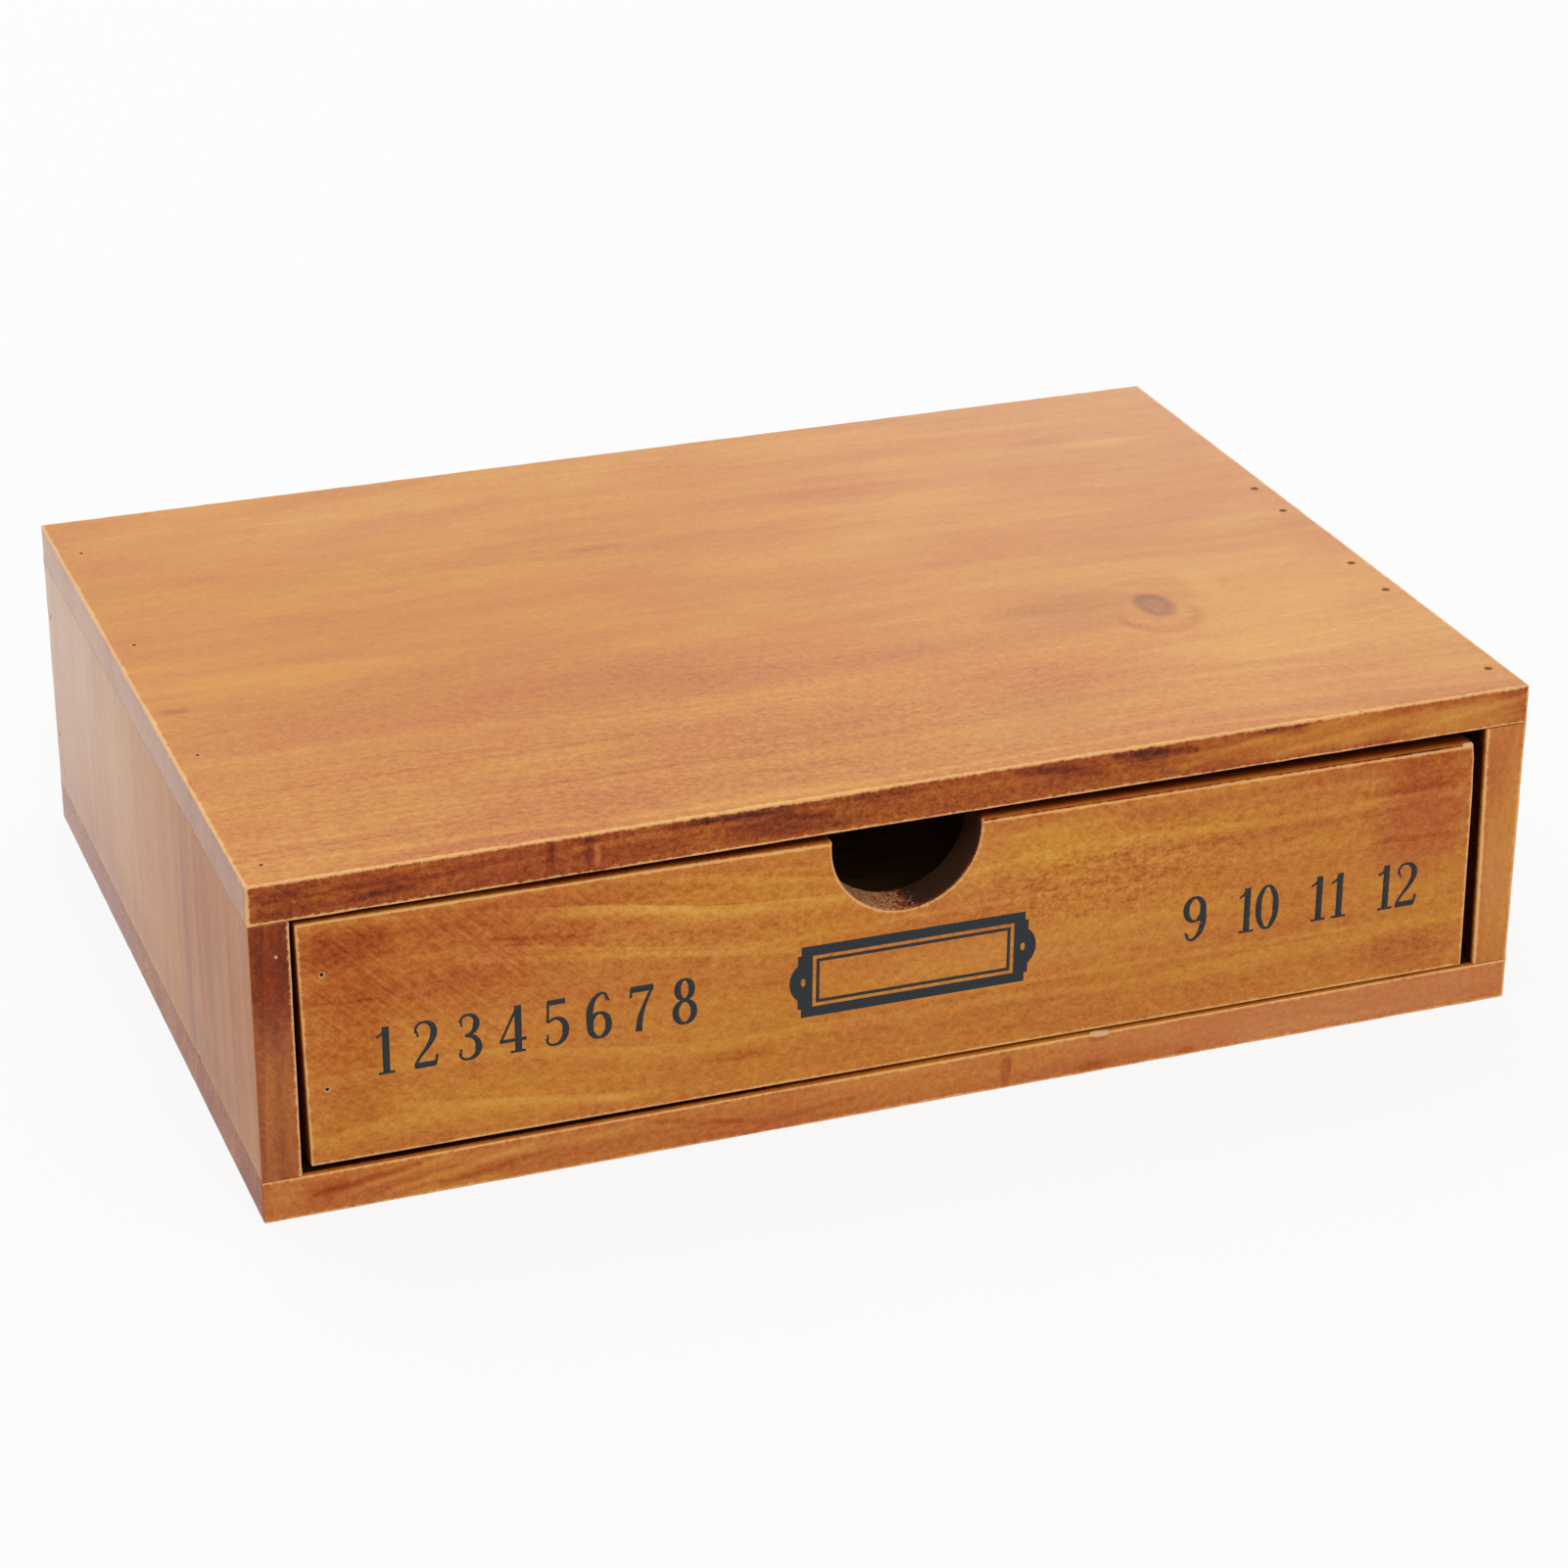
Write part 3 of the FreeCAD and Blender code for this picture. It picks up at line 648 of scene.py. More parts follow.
def right_inner(z):
    """The inner face of the right side, which is thinner at the floor than at the ceiling."""
    return (z - 61.7) * -RIGHT_INNER_SLOPE + RIGHT_INNER_TOP


def right_arris(wood):
    low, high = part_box("right_side_board")
    beside = abs(wood.axis["x"] - right_inner(wood.axis["z"])).least(abs(wood.axis["x"] - high.x / MM))
    return wood.arris([beside, abs(wood.axis["y"] - low.y / MM), CLEAR_OF_ARRISES])


RIGHT_STAIN = stain(
    "right_side_board", "zyx", seed=5.9, tone=0.42, red=0.40, pith=(60, 60), ring_width=6.0, raw="-x",
    arris=right_arris, gap=0.60, faces=[("-y", 0.0, 0.28, RIGHT_FRONT_EDGE)])
BACK_STAIN = stain(
    "back_board", "xzy", seed=8.8, tone=0.46, red=0.40, pith=(20, 40), ring_width=5.6, raw="-y",
    rubbed=("-x", "+x", "-y"))

# %% [markdown]
# A sawn board is a box with its arrises rubbed down, but never evenly. The steps are those of a
# workshop: a blank at its size, cut lines across it so that there is something to wear, a bevel that
# is narrow where two boards meet and wider where hands reach, and then wear, a cloud pattern that
# takes a little off the arrises and nothing off the faces.

# %% Blanks with worn arrises
CUT_EVERY = 2.5 * MM
ARRIS_WIDTH = 0.4 * MM
JOINT_SHARE = 0.3
WEAR_DEPTH = 0.22 * MM
WEAR_REACH = 1.3 * MM
JOINT_WEAR = 0.15
X, Y, Z = range(3)

worn_away = bpy.data.textures.new("worn_away", type="CLOUDS")
worn_away.noise_scale = 0.005
worn_away.noise_depth = 2


def choose(*things):
    """Selects only these, the first one active."""
    bpy.ops.object.select_all(action="DESELECT")
    for thing in things:
        thing.select_set(True)
    bpy.context.view_layer.objects.active = things[0]


@contextmanager
def editing(piece, selected="SELECT"):
    """Edit mode for one piece, with all of it selected or nothing."""
    choose(piece)
    bpy.ops.object.mode_set(mode="EDIT")
    bpy.ops.mesh.select_all(action=selected)
    yield
    bpy.ops.object.mode_set(mode="OBJECT")


def face_outwards():
    """Turns all faces outwards, in edit mode."""
    bpy.ops.mesh.select_all(action="SELECT")
    bpy.ops.mesh.normals_make_consistent(inside=False)


def add_blank(name, low, high):
    """A box from its lowest to its highest corner."""
    bpy.ops.object.select_all(action="DESELECT")
    bpy.ops.mesh.primitive_cube_add(size=1.0, location=(low + high) / 2, scale=high - low)
    blank = bpy.context.object
    blank.name = name
    bpy.ops.object.transform_apply()
    return blank


def cut_across(blank, axis):
    """Cuts the blank into strips across one axis, by dividing every edge that runs along it."""
    with editing(blank, "DESELECT"):
        bpy.ops.mesh.select_mode(type="EDGE")
        mesh = bmesh.from_edit_mesh(blank.data)
        longest = 0.0
        for edge in mesh.edges:
            run = edge.verts[1].co - edge.verts[0].co
            if abs(run[axis]) > 0.99 * run.length:
                edge.select_set(True)
                longest = max(longest, run.length)
        bmesh.update_edit_mesh(blank.data)
        cuts = round(longest / CUT_EVERY) - 1
        if cuts > 0:
            bpy.ops.mesh.subdivide(number_cuts=cuts)


def apply(piece, kind, **settings):
    """Adds one modifier, sets it and applies it."""
    choose(piece)
    modifier = piece.modifiers.new(kind.lower(), kind)
    for setting, value in settings.items():
        setattr(modifier, setting, value)
    bpy.ops.object.modifier_apply(modifier=modifier.name)


def bevel_arrises(piece, is_joint):
    """Bevels every edge where two faces turn, narrower where is_joint says that boards meet."""
    mesh = bmesh.new()
    mesh.from_mesh(piece.data)
    share = mesh.edges.layers.float.new("bevel_weight_edge")
    for edge in mesh.edges:
        if edge.calc_face_angle(0.0) > math.radians(30):
            middle = (edge.verts[0].co + edge.verts[1].co) / 2
            edge[share] = JOINT_SHARE if is_joint(middle) else 1.0
    mesh.to_mesh(piece.data)
    mesh.free()
    apply(piece, "BEVEL", width=ARRIS_WIDTH, segments=3, limit_method="WEIGHT", use_clamp_overlap=False)


def wear_arrises(piece, distance, is_joint):
    """Takes a little off along the arrises. distance gives how far a point is from the nearest one."""
    group = piece.vertex_groups.new(name="arris")
    for vertex in piece.data.vertices:
        near_arris = 1.0 - distance(vertex.co) / WEAR_REACH
        if near_arris > 0.0:
            share = near_arris * (JOINT_WEAR if is_joint(vertex.co) else 1.0)
            group.add([vertex.index], share, "REPLACE")
    apply(piece, "DISPLACE", texture=worn_away, texture_coords="LOCAL", mid_level=1.0,
          strength=WEAR_DEPTH, vertex_group="arris")


def box_distance(low, high):
    """Distance to the nearest arris of a straight board, for a point on its surface."""
    def distance(point):
        return sorted(min(point[k] - low[k], high[k] - point[k]) for k in range(3))[1]
    return distance


def meets(*lines):
    """Whether a point is on one of these lines, each a pair of (axis, place)."""
    def is_joint(point):
        return any(all(abs(point[axis] - place) < 1.2 * MM for axis, place in line) for line in lines)
    return is_joint


def saw(piece, place, direction):
    """One straight cut right through, which drops what lies beyond it in this direction."""
    with editing(piece):
        bpy.ops.mesh.bisect(plane_co=place, plane_no=direction, use_fill=True, clear_outer=True)


def make_board(node, stain_material, is_joint, last_cut=None):
    """A straight board, worn and stained. last_cut is the place and direction of one slanting cut."""
    low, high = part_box(node)
    board = add_blank(node + "_wood", low, high)
    if last_cut is not None:
        saw(board, *last_cut)
    for axis in (X, Y, Z):
        cut_across(board, axis)
    bevel_arrises(board, is_joint)
    wear_arrises(board, box_distance(low, high), is_joint)
    board.data.materials.append(stain_material)
    return board


def finish_piece(piece, node, body):
    """Rounds the bevels in the shading, keeps the faces flat, and takes the node's place."""
    choose(piece)
    bpy.ops.object.shade_smooth_by_angle(angle=math.radians(40))
    apply(piece, "WEIGHTED_NORMAL", keep_sharp=True, weight=70)
    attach(piece, body)
    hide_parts(node)
    print(piece.name, "has", len(piece.data.polygons), "faces")

# %% [markdown]
# Small turned shapes, the brads and the punches for their pits, are all made the same way: one ring
# is extruded upwards, and widened or narrowed at every step. Each small part also gets a finish of
# its own, one colour broken up by grit.

# %% Turned shapes and small finishes
def turned(name, steps, vertices=18):
    """A closed shape from a ring. Each step is a height and the radius there, in millimetres."""
    height, radius = steps[0]
    bpy.ops.object.select_all(action="DESELECT")
    bpy.ops.mesh.primitive_circle_add(
        vertices=vertices, radius=radius * MM, fill_type="NGON", location=(0, 0, height * MM))
    piece = bpy.context.object
    piece.name = name
    bpy.ops.object.transform_apply()
    with editing(piece):
        for next_height, next_radius in steps[1:]:
            rise = (0, 0, (next_height - height) * MM)
            bpy.ops.mesh.extrude_region_move(TRANSFORM_OT_translate={"value": rise})
            bpy.ops.transform.resize(value=(next_radius / radius, next_radius / radius, 1.0))
            height, radius = next_height, next_radius
        face_outwards()
    return piece


def flat_finish(name, colour, roughness, metallic=0.0, grit=0.3):
    """A small part's finish: one colour, broken up by grit that darkens and roughens it."""
    recipe = Recipe(name)
    speck = recipe.noise(recipe.places, scale=2600.0, detail=3.0).fade(-0.5, 0.6)
    dark = tuple(channel * (1.0 - grit) for channel in colour)
    surface = recipe.blend(speck, (*colour, 1.0), (*dark, 1.0))
    normal = recipe.node("Bump", {}, {"Strength": 0.6, "Distance": 0.05 * MM, "Height": speck})
    return recipe.finish({"Base Color": surface, "Roughness": speck * 0.2 + roughness, "Normal": normal,
                          "Metallic": metallic, "IOR": 1.25})


def copy_of(source):
    """A copy with its own mesh."""
    copied = source.copy()
    copied.data = source.data.copy()
    bpy.context.scene.collection.objects.link(copied)
    return copied


def set_in_place(source, place, out):
    """A copy of a piece modelled at the origin and pointing up, moved in its mesh to a place."""
    copied = copy_of(source)
    turn = out.to_track_quat("Z", "Y").to_matrix().to_4x4()
    turn.translation = place
    copied.data.transform(turn)
    return copied


def joined(name, pieces):
    choose(*pieces)
    if len(pieces) > 1:
        bpy.ops.object.join()
    pieces[0].name = name
    return pieces[0]


def remove(*pieces):
    choose(*pieces)
    bpy.ops.object.delete()


# The pit wall's dark brown is stain pooled in the pit and painted shade inside it.
PIT_WALL = flat_finish("pit_wall", (0.10, 0.045, 0.025), 0.8)
CRUSHED_WOOD = flat_finish("crushed_wood", (0.66, 0.36, 0.20), 0.7)
BARE_WOOD = flat_finish("bare_wood", (0.80, 0.50, 0.26), 0.7, grit=0.2)
DARK_STAIN = flat_finish("dark_stain", (0.17, 0.055, 0.020), 0.6)
FILLER = flat_finish("stained_filler", (0.38, 0.13, 0.034), 0.6)
FILLER_MIDDLE = flat_finish("stained_filler_middle", (0.24, 0.070, 0.018), 0.6)
BRAD_STEEL = flat_finish("brad_steel_dulled", (0.085, 0.055, 0.038), 0.55, metallic=0.5, grit=0.6)

# %% [markdown]
# Brads hold the boards, and each head sits in a small pit with a crushed pale rim. The brads of the
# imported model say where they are: the outermost points of each row fall into one cluster a brad.
# The pit is one punch with a flared mouth, taken out of the board with a boolean that carries the
# punch's two finishes over to the wood. Its walls stand closer than the head is wide, because wood
# closes again over a set brad. Some pits were filled and stained over, so they get a shallow punch.

# %% Brads and their pits
BRAD_SPACING = 4.0 * MM


def outward(way):
    """The direction that a way such as '-y' names."""
    sign = 1.0 if way[0] == "+" else -1.0
    return Vector([sign if axis == way[1] else 0.0 for axis in "xyz"])


def brad_heads(node, out):
    """The middle of each head in a row, on its outer face."""
    points = [vertex.co.copy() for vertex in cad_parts[node].data.vertices]
    reach = max(point.dot(out) for point in points)
    clusters = []
    for point in points:
        if point.dot(out) < reach - 0.01 * MM:
            continue
        for cluster in clusters:
            if (cluster[0] - point).length < BRAD_SPACING:
                cluster.append(point)
                break
        else:
            clusters.append([point])
    heads = []
    for cluster in clusters:
        low = Vector([min(point[k] for point in cluster) for k in range(3)])
        high = Vector([max(point[k] for point in cluster) for k in range(3)])
        heads.append((low + high) / 2)
    return heads


def carve(board, cutter):
    """Takes the cutter out of the board. The cut faces keep the cutter's finishes."""
    apply(board, "BOOLEAN", object=cutter, operation="DIFFERENCE", solver="EXACT",
          material_mode="TRANSFER")
    remove(cutter)


def add_punch(depth, bottom, dish, mouth, pit_finish, rim_finish):
    """A round cutter that points down, with a flared mouth at the surface, z = 0."""
    punch = turned("punch", [(-depth, bottom), (-dish, bottom), (0.02, mouth), (0.8, mouth)])
    punch.data.materials.append(pit_finish)
    punch.data.materials.append(rim_finish)
    for face in punch.data.polygons:
        face.material_index = int(-dish * MM < face.center.z < 0.02 * MM)
    return punch


OPEN_PUNCH = add_punch(0.56, 0.38, 0.12, 0.68, PIT_WALL, CRUSHED_WOOD)
FILLED_PUNCH = add_punch(0.10, 0.60, 0.06, 1.05, FILLER_MIDDLE, FILLER)


def set_brads(board, row, way, body, punch=OPEN_PUNCH):
    """Carves a pit for every brad of a row, and makes the brads."""
    low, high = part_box(row)
    face_low, face_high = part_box(board.name.replace("_wood", ""))
    axis = "xyz".index(way[1])
    length = (high - low)[axis] / MM
    brad = turned("brad", [
        (-length, 0.12), (-length + 1.2, 0.5), (-2.6, 0.5), (-2.5, 0.44), (-2.2, 0.5), (-2.1, 0.44),
        (-1.8, 0.5), (-0.6, 0.5), (-0.58, 0.62), (-0.06, 0.65), (0, 0.58), (0, 0.3), (-0.08, 0.2)], 14)
    brads = []
    punches = []
    for head in brad_heads(row, outward(way)):
        brads.append(set_in_place(brad, head, outward(way)))
        head[axis] = face_high[axis] if way[0] == "+" else face_low[axis]
        punches.append(set_in_place(punch, head, outward(way)))
    carve(board, joined("punches", punches))
    remove(brad)
    brads = joined(row + "_steel", brads)
    brads.data.materials.append(BRAD_STEEL)
    finish_piece(brads, row, body)


# %% [markdown]
# Years on a desk add dents, scratches and chips. Each is a lump, a stretched ball roughened by the
# same clouds as the wear, that is sunk into the board and taken out of it. A chip shows bare wood,
# a dent keeps dark stain.

# %% Dents and chips
lumpy = bpy.data.textures.new("lumpy", type="CLOUDS")
lumpy.noise_scale = 0.6


def gouge(board, place, half_sizes, left_in_it):
    """A lump sunk into the board, placed in millimetres from the left end, the front and the table."""
    bpy.ops.object.select_all(action="DESELECT")
    bpy.ops.mesh.primitive_ico_sphere_add(subdivisions=3, radius=1.0)
    lump = bpy.context.object
    apply(lump, "DISPLACE", texture=lumpy, texture_coords="LOCAL", mid_level=0.5, strength=0.5)
    lump.scale = Vector(half_sizes) * MM
    lump.location = CASE_CORNER + Vector(place) * MM
    choose(lump)
    bpy.ops.object.transform_apply()
    lump.data.materials.append(left_in_it)
    carve(board, lump)

# %% Top board
CASE_LOW, CASE_HIGH = CAD_BOX
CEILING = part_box("top_board")[0].z
FLOOR_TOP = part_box("bottom_board")[1].z
SIDE_FACES = [(X, CASE_LOW.x), (X, CASE_HIGH.x), (Y, CASE_HIGH.y)]

top_joints = meets(*[(face, (Z, CEILING)) for face in SIDE_FACES])
top_board = make_board("top_board", TOP_STAIN, top_joints)
gouge(top_board, (57, 0, 65.9), (0.8, 0.26, 3.6), TOP_STAIN)
gouge(top_board, (64.6, 0, 65.6), (0.7, 0.26, 4.2), TOP_STAIN)
set_brads(top_board, "top_nails_left", "+z", "case")
set_brads(top_board, "top_nails_right", "+z", "case", FILLED_PUNCH)
finish_piece(top_board, "top_board", "case")

# %% Bottom board
bottom_joints = meets(*[(face, (Z, FLOOR_TOP)) for face in SIDE_FACES])
bottom_board = make_board("bottom_board", BOTTOM_STAIN, bottom_joints)
gouge(bottom_board, (149.8, 0, 5.0), (0.3, 0.2, 3.0), BOTTOM_STAIN)
gouge(bottom_board, (169.1, 0, 8.55), (2.3, 1.0, 0.75), BARE_WOOD)
set_brads(bottom_board, "bottom_nails_left", "-z", "case")
set_brads(bottom_board, "bottom_nails_right", "-z", "case")
finish_piece(bottom_board, "bottom_board", "case")

# %% Sides and back
def side_joints(outer, inner):
    """Where a side meets the boards above and below it, and the back."""
    faces = [(X, outer), (Y, CASE_LOW.y), (Y, CASE_HIGH.y)]
    ends = [(face, (Z, height)) for face in faces for height in (CEILING, FLOOR_TOP)]
    return meets(*ends, ((X, inner), (Y, CASE_HIGH.y)))


left_low, left_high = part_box("left_side_board")
left_side = make_board("left_side_board", LEFT_STAIN, side_joints(left_low.x, left_high.x))
gouge(left_side, (5.0, 0, 55.1), (0.3, 0.25, 0.35), BARE_WOOD)
gouge(left_side, (0, 50, 8.9), (0.4, 1.6, 0.7), DARK_STAIN)
set_brads(left_side, "back_nails_left", "-x", "case")
finish_piece(left_side, "left_side_board", "case")

right_low, right_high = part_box("right_side_board")
slant = Vector((-1, 0, -RIGHT_INNER_SLOPE)).normalized()
right_side = make_board("right_side_board", RIGHT_STAIN, side_joints(right_high.x, right_low.x),
                        last_cut=(Vector((RIGHT_INNER_TOP * MM, 0, CEILING)), slant))
set_brads(right_side, "back_nails_right", "+x", "case")
finish_piece(right_side, "right_side_board", "case")

back_low, back_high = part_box("back_board")
back_joints = [((Y, back_high.y), (Z, place)) for place in (CEILING, FLOOR_TOP)]
back_joints += [((Y, back_high.y), (X, place)) for place in (back_low.x, back_high.x)]
back_board = make_board("back_board", BACK_STAIN, meets(*back_joints))
finish_piece(back_board, "back_board", "case")

# %% [markdown]
# The drawer front was sawn a little out of square, and its top right corner is worn back. So its
# outline is a list of saw cuts, each from one corner to the next, seen from the front. The finger
# notch is a 30 mm bore that breaks out through the top. The same outline then says, in the mesh
# and in the stain, how far any place on the front is from an arris.

# %% Outline of the drawer front
FRONT_CORNERS = [(-121.3, 60.6), (118.4, 59.1), (118.95, 56.0), (119.5, 9.25), (-120.4, 10.4)]
NOTCH_PLACE = (-2.4, 58.3)
NOTCH_RADIUS = 15.2
FRONT_LOW, FRONT_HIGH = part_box("drawer_front")
SAW_MARGIN = Vector((2 * MM, 0, 2 * MM))


def saw_cuts():
    """Each cut as a corner and the direction into the wood."""
    cuts = []
    for (x, z), (next_x, next_z) in zip(FRONT_CORNERS, FRONT_CORNERS[1:] + FRONT_CORNERS[:1]):
        inward = Vector((next_z - z, x - next_x)).normalized()
        cuts.append(((x, z), inward))
    return cuts


def front_gaps(x, z):
    """Millimetres to each cut of the drawer front and to the notch, for numbers and for Values."""
    gaps = []
    for corner, inward in saw_cuts():
        gaps.append((x - corner[0]) * inward[0] + (z - corner[1]) * inward[1])
    beside = x - NOTCH_PLACE[0]
    above = z - NOTCH_PLACE[1]
    gaps.append((beside * beside + above * above) ** 0.5 - NOTCH_RADIUS)
    return gaps


def front_distance(point):
    gap = smallest(*front_gaps(point.x / MM, point.z / MM)) * MM
    return max(gap, min(point.y - FRONT_LOW.y, FRONT_HIGH.y - point.y))


def is_crisp(point):
    """The arrises along the floor and along the right side were never rubbed down."""
    low_down = point.z < (FRONT_CORNERS[-1][1] + 0.5) * MM
    return low_down or (point.x > FRONT_HIGH.x - 1.2 * MM and point.z < 50 * MM)


def worn_round(wood):
    """How far down the top arris of the front is worn round: most to the right of the notch."""
    return wood.x.fade(60, 150, 0.20, 0.80)


def front_arris(wood):
    """The arrises of the front face only, since nothing rubs the ones behind it. Their pale line is
    rubbed wear and a painted highlight; that of the top one is thin, and runs along the lower side
    of its rounding."""
    gaps = front_gaps(wood.axis["x"], wood.axis["z"])
    gaps[0] = abs(gaps[0] - worn_round(wood)) * 1.7
    return smallest(*gaps).most(wood.axis["y"] - FRONT_LOW.y / MM)


print("cuts", saw_cuts())

# %% [markdown]
# The front is the most lively board: the grain falls to the right in its left half, the upper left
# is deep orange and the lower part golden, there are rows of dark pores right of the notch, fine
# slanting scratches on the left, and a few smudges where dirty fingers held it.

# %% Stain on the drawer front
DRAWER_FACE = [
    (38, 50, 44, 14, 0.1, 0.4), (12, 56, 16, 9, 0.11, 0.3), (17, 40, 13, 28, 0.08, 0.05),
    (60, 57, 60, 4, 0.07, 0.3), (240, 56, 18, 10, 0.12, 0.2), (218, 58, 16, 4, 0.05, 0.2),
    (141, 50, 8, 16, -0.08, -0.2), (160, 30, 62, 9, -0.09, -0.1), (180, 47, 14, 5, -0.08, -0.1),
    (45, 18, 45, 9, -0.02, -0.15), (200, 55, 60, 2.5, 0.07, 0.4), (205, 47, 50, 1.6, 0.06, 0.3),
    (180, 30, 40, 2, 0.04, 0.2), (70, 13.5, 11, 1.5, -0.12, -0.3), (160, 51, 22, 8, -0.06, -0.45),
    (238, 44, 16, 16, 0.06, 0.65), (236, 15, 15, 7, 0.07, 0.4), (13, 56.5, 3, 2.5, 0.1, 0.1),
    (20, 26, 9, 22, 0.04, 0.05), (236, 58, 14, 3, 0.05, 0), (13.5, 17, 4, 1.5, 0.12, 0.1),
    (94, 18, 10, 1.5, 0.1, 0.15), (208.5, 44.5, 2, 0.8, 0.16, 0.2),
]
LIGHT_STREAKS = [
    ((38, 48), (105, 38.5), 1.1), ((80, 57.5), (113, 52), 1.1), ((27, 20), (70, 13.5), 1.2),
    ((145, 55), (172, 55), 1), ((195, 54.5), (230, 54.3), 1), ((122, 41.5), (170, 41.2), 0.9),
    ((130, 23.5), (240, 22), 1),
]
DARK_DASHES = [
    ((98, 49.5), (110, 47.4), 0.9), ((100, 55.5), (112, 53.4), 1), ((10, 44), (22, 43), 0.6),
    ((85, 51), (97, 49.5), 0.8), ((45, 51.5), (62, 49), 0.8), ((225, 51.5), (243, 51), 1.2),
    ((228, 40.5), (244, 40), 1), ((196, 45.5), (200, 45.2), 0.6),
]


def front_marks(wood):
    """The grain's fall, light streaks, dark dashes, pores and scratches on the face. The edges round it
    get darker deeper in, darker stain that also paints the shade of the gaps, and the rounding above the
    top arris is painted darker and redder, a painted shade under the top board. The notch is bare and
    dusty below and painted with shade on its right. The back got a thin coat."""
    wood.lean(-110, -25, -9)
    front = wood.facing("-y")
    light = wood.drawn(LIGHT_STREAKS, "xz", -0.08)
    tone = wood.drawn(DARK_DASHES, "xz", 0.09) + light
    pores = wood.streaks(1.9, 0.95, shift=13.0).fade(0.0, 0.45)
    porous = wood.spot("xz", 165, 43, 42, 12) * 0.16
    porous = wood.spot("xz", 68, 47, 42, 12) * 0.08 + porous
    place = wood.vector((wood.x - wood.z) / 22, (wood.x + wood.z) / 0.95, 0.0)
    scraped = wood.spot("xz", 34, 44, 50, 26) * 0.16 + 0.03
    tone = (pores * porous + wood.noise(place) * scraped + tone) * front
    gaps = front_gaps(wood.axis["x"], wood.axis["z"])
    # Painted shade: the rounding above the top arris is darker and redder, under the top board.
    shaded_rounding = (worn_round(wood) - gaps[0]).fade(0.1, 0.4) * front
    behind = wood.facing("+y")
    edges = 1.0 - front - behind
    # Darker stain and painted shade: the edges darken deeper into the gaps, the right end less.
    edge_stain_and_shade = edges * wood.y.fade(0.6, 2.6, 0.10, 0.42) - wood.facing("+x") * 0.20
    beside_notch = wood.axis["x"] - NOTCH_PLACE[0]
    in_notch = edges * abs(gaps[-1]).fade(0.5, 0.25)
    dusty = in_notch * (beside_notch + wood.pebble * 6.0).fade(4.0, -3.0)
    shaded = in_notch * beside_notch.fade(-3, 5)
    place = wood.vector(wood.axis["x"] / 0.7, wood.axis["y"] / 0.5, wood.axis["z"] / 0.7)
    crumbs = wood.noise(place, detail=3.0)
    tone = edge_stain_and_shade * (1.0 - dusty) + shaded * 0.34 + crumbs * dusty * 0.7 + tone
    tone = shaded_rounding * 0.34 - behind * 0.18 + tone
    bare = dusty * (crumbs * -2.4 + 0.26) + in_notch * 0.04 + behind * 0.45
    return tone, (light * 2.0 + shaded_rounding * 0.3) * front + in_notch * 0.9, bare


def front_lines(wood):
    """The ring lines stand out most in the upper left, where they fall to the right."""
    upper = wood.spot("xz", 76, 48, 50, 14) * 0.22
    lower = wood.spot("xz", 40, 17, 50, 8) * 0.12
    return upper + lower + 0.08


def rough_front(wood):
    """The raised grain is strongest right of the notch, and falls to the right on the left of it."""
    right = wood.spot("xz", 166, 44, 46, 14) * 0.24
    left = wood.spot("xz", 84, 48, 40, 13) * 0.12
    return (right + left + 0.16) * wood.facing("-y") + 0.12


FRONT_STAIN = stain(
    "drawer_front", "xzy", seed=4.4, tone=0.42, red=0.42, pith=(-30, 60), ring_width=3.2, own=front_marks,
    lines=front_lines, pebbled=rough_front, streaky=0.6, faces=[("-y", 0.0, 0.0, DRAWER_FACE)],
    arris=front_arris, worn=0.72, pale=0.66)

# %% Drawer front
def score(piece, axis, start, end):
    """Cut lines across a piece that has any outline, to give the wear something to work on."""
    direction = Vector([float(k == axis) for k in range(3)])
    count = round((end - start) / CUT_EVERY)
    with editing(piece):
        for line in range(1, count):
            bpy.ops.mesh.select_all(action="SELECT")
            place = start + (end - start) * line / count
            bpy.ops.mesh.bisect(plane_co=direction * place, plane_no=direction)


drawer_front = add_blank("drawer_front_wood", FRONT_LOW - SAW_MARGIN, FRONT_HIGH + SAW_MARGIN)
drawer_front.data.materials.append(FRONT_STAIN)
for corner, inward in saw_cuts():
    saw(drawer_front, Vector((corner[0], 0, corner[1])) * MM, Vector((-inward[0], 0, -inward[1])))

bpy.ops.mesh.primitive_cylinder_add(
    vertices=112, radius=NOTCH_RADIUS * MM, depth=30 * MM, rotation=(math.radians(90), 0, 0),
    location=(NOTCH_PLACE[0] * MM, FRONT_LOW.y, NOTCH_PLACE[1] * MM))
notch_bore = bpy.context.object
notch_bore.data.materials.append(FRONT_STAIN)
carve(drawer_front, notch_bore)
bevel_arrises(drawer_front, is_crisp)
for axis in (X, Y, Z):
    score(drawer_front, axis, FRONT_LOW[axis], FRONT_HIGH[axis])
wear_arrises(drawer_front, front_distance, is_crisp)
gouge(drawer_front, (247.4, 0.3, 58.9), (1.5, 0.5, 0.6), BARE_WOOD)
gouge(drawer_front, (112.9, 0.3, 60.0), (0.8, 0.6, 0.5), BARE_WOOD)
set_brads(drawer_front, "drawer_front_nails_left", "-y", "drawer")
flush_punch = add_punch(0.06, 0.45, 0.03, 0.70, FRONT_STAIN, FILLER)
set_brads(drawer_front, "drawer_front_nails_right", "-y", "drawer", flush_punch)
remove(flush_punch)
finish_piece(drawer_front, "drawer_front", "drawer")

# %% [markdown]
# Behind the front is a plain box of thinner stock. It was stained with what was left on the brush,
# so the wood shows through, and its floor is three-ply, whose edges show the dark middle layer.

# %% Drawer box
def thin_stain(node, axes, seed, pith, raw, rubbed):
    return stain(node, axes, seed, tone=0.22, red=0.20, pith=pith, ring_width=5.0, raw=raw, gap=0.0,
                 thin=0.45, pebbled=0.08, rubbed=rubbed, roughness=(0.5, 0.5))


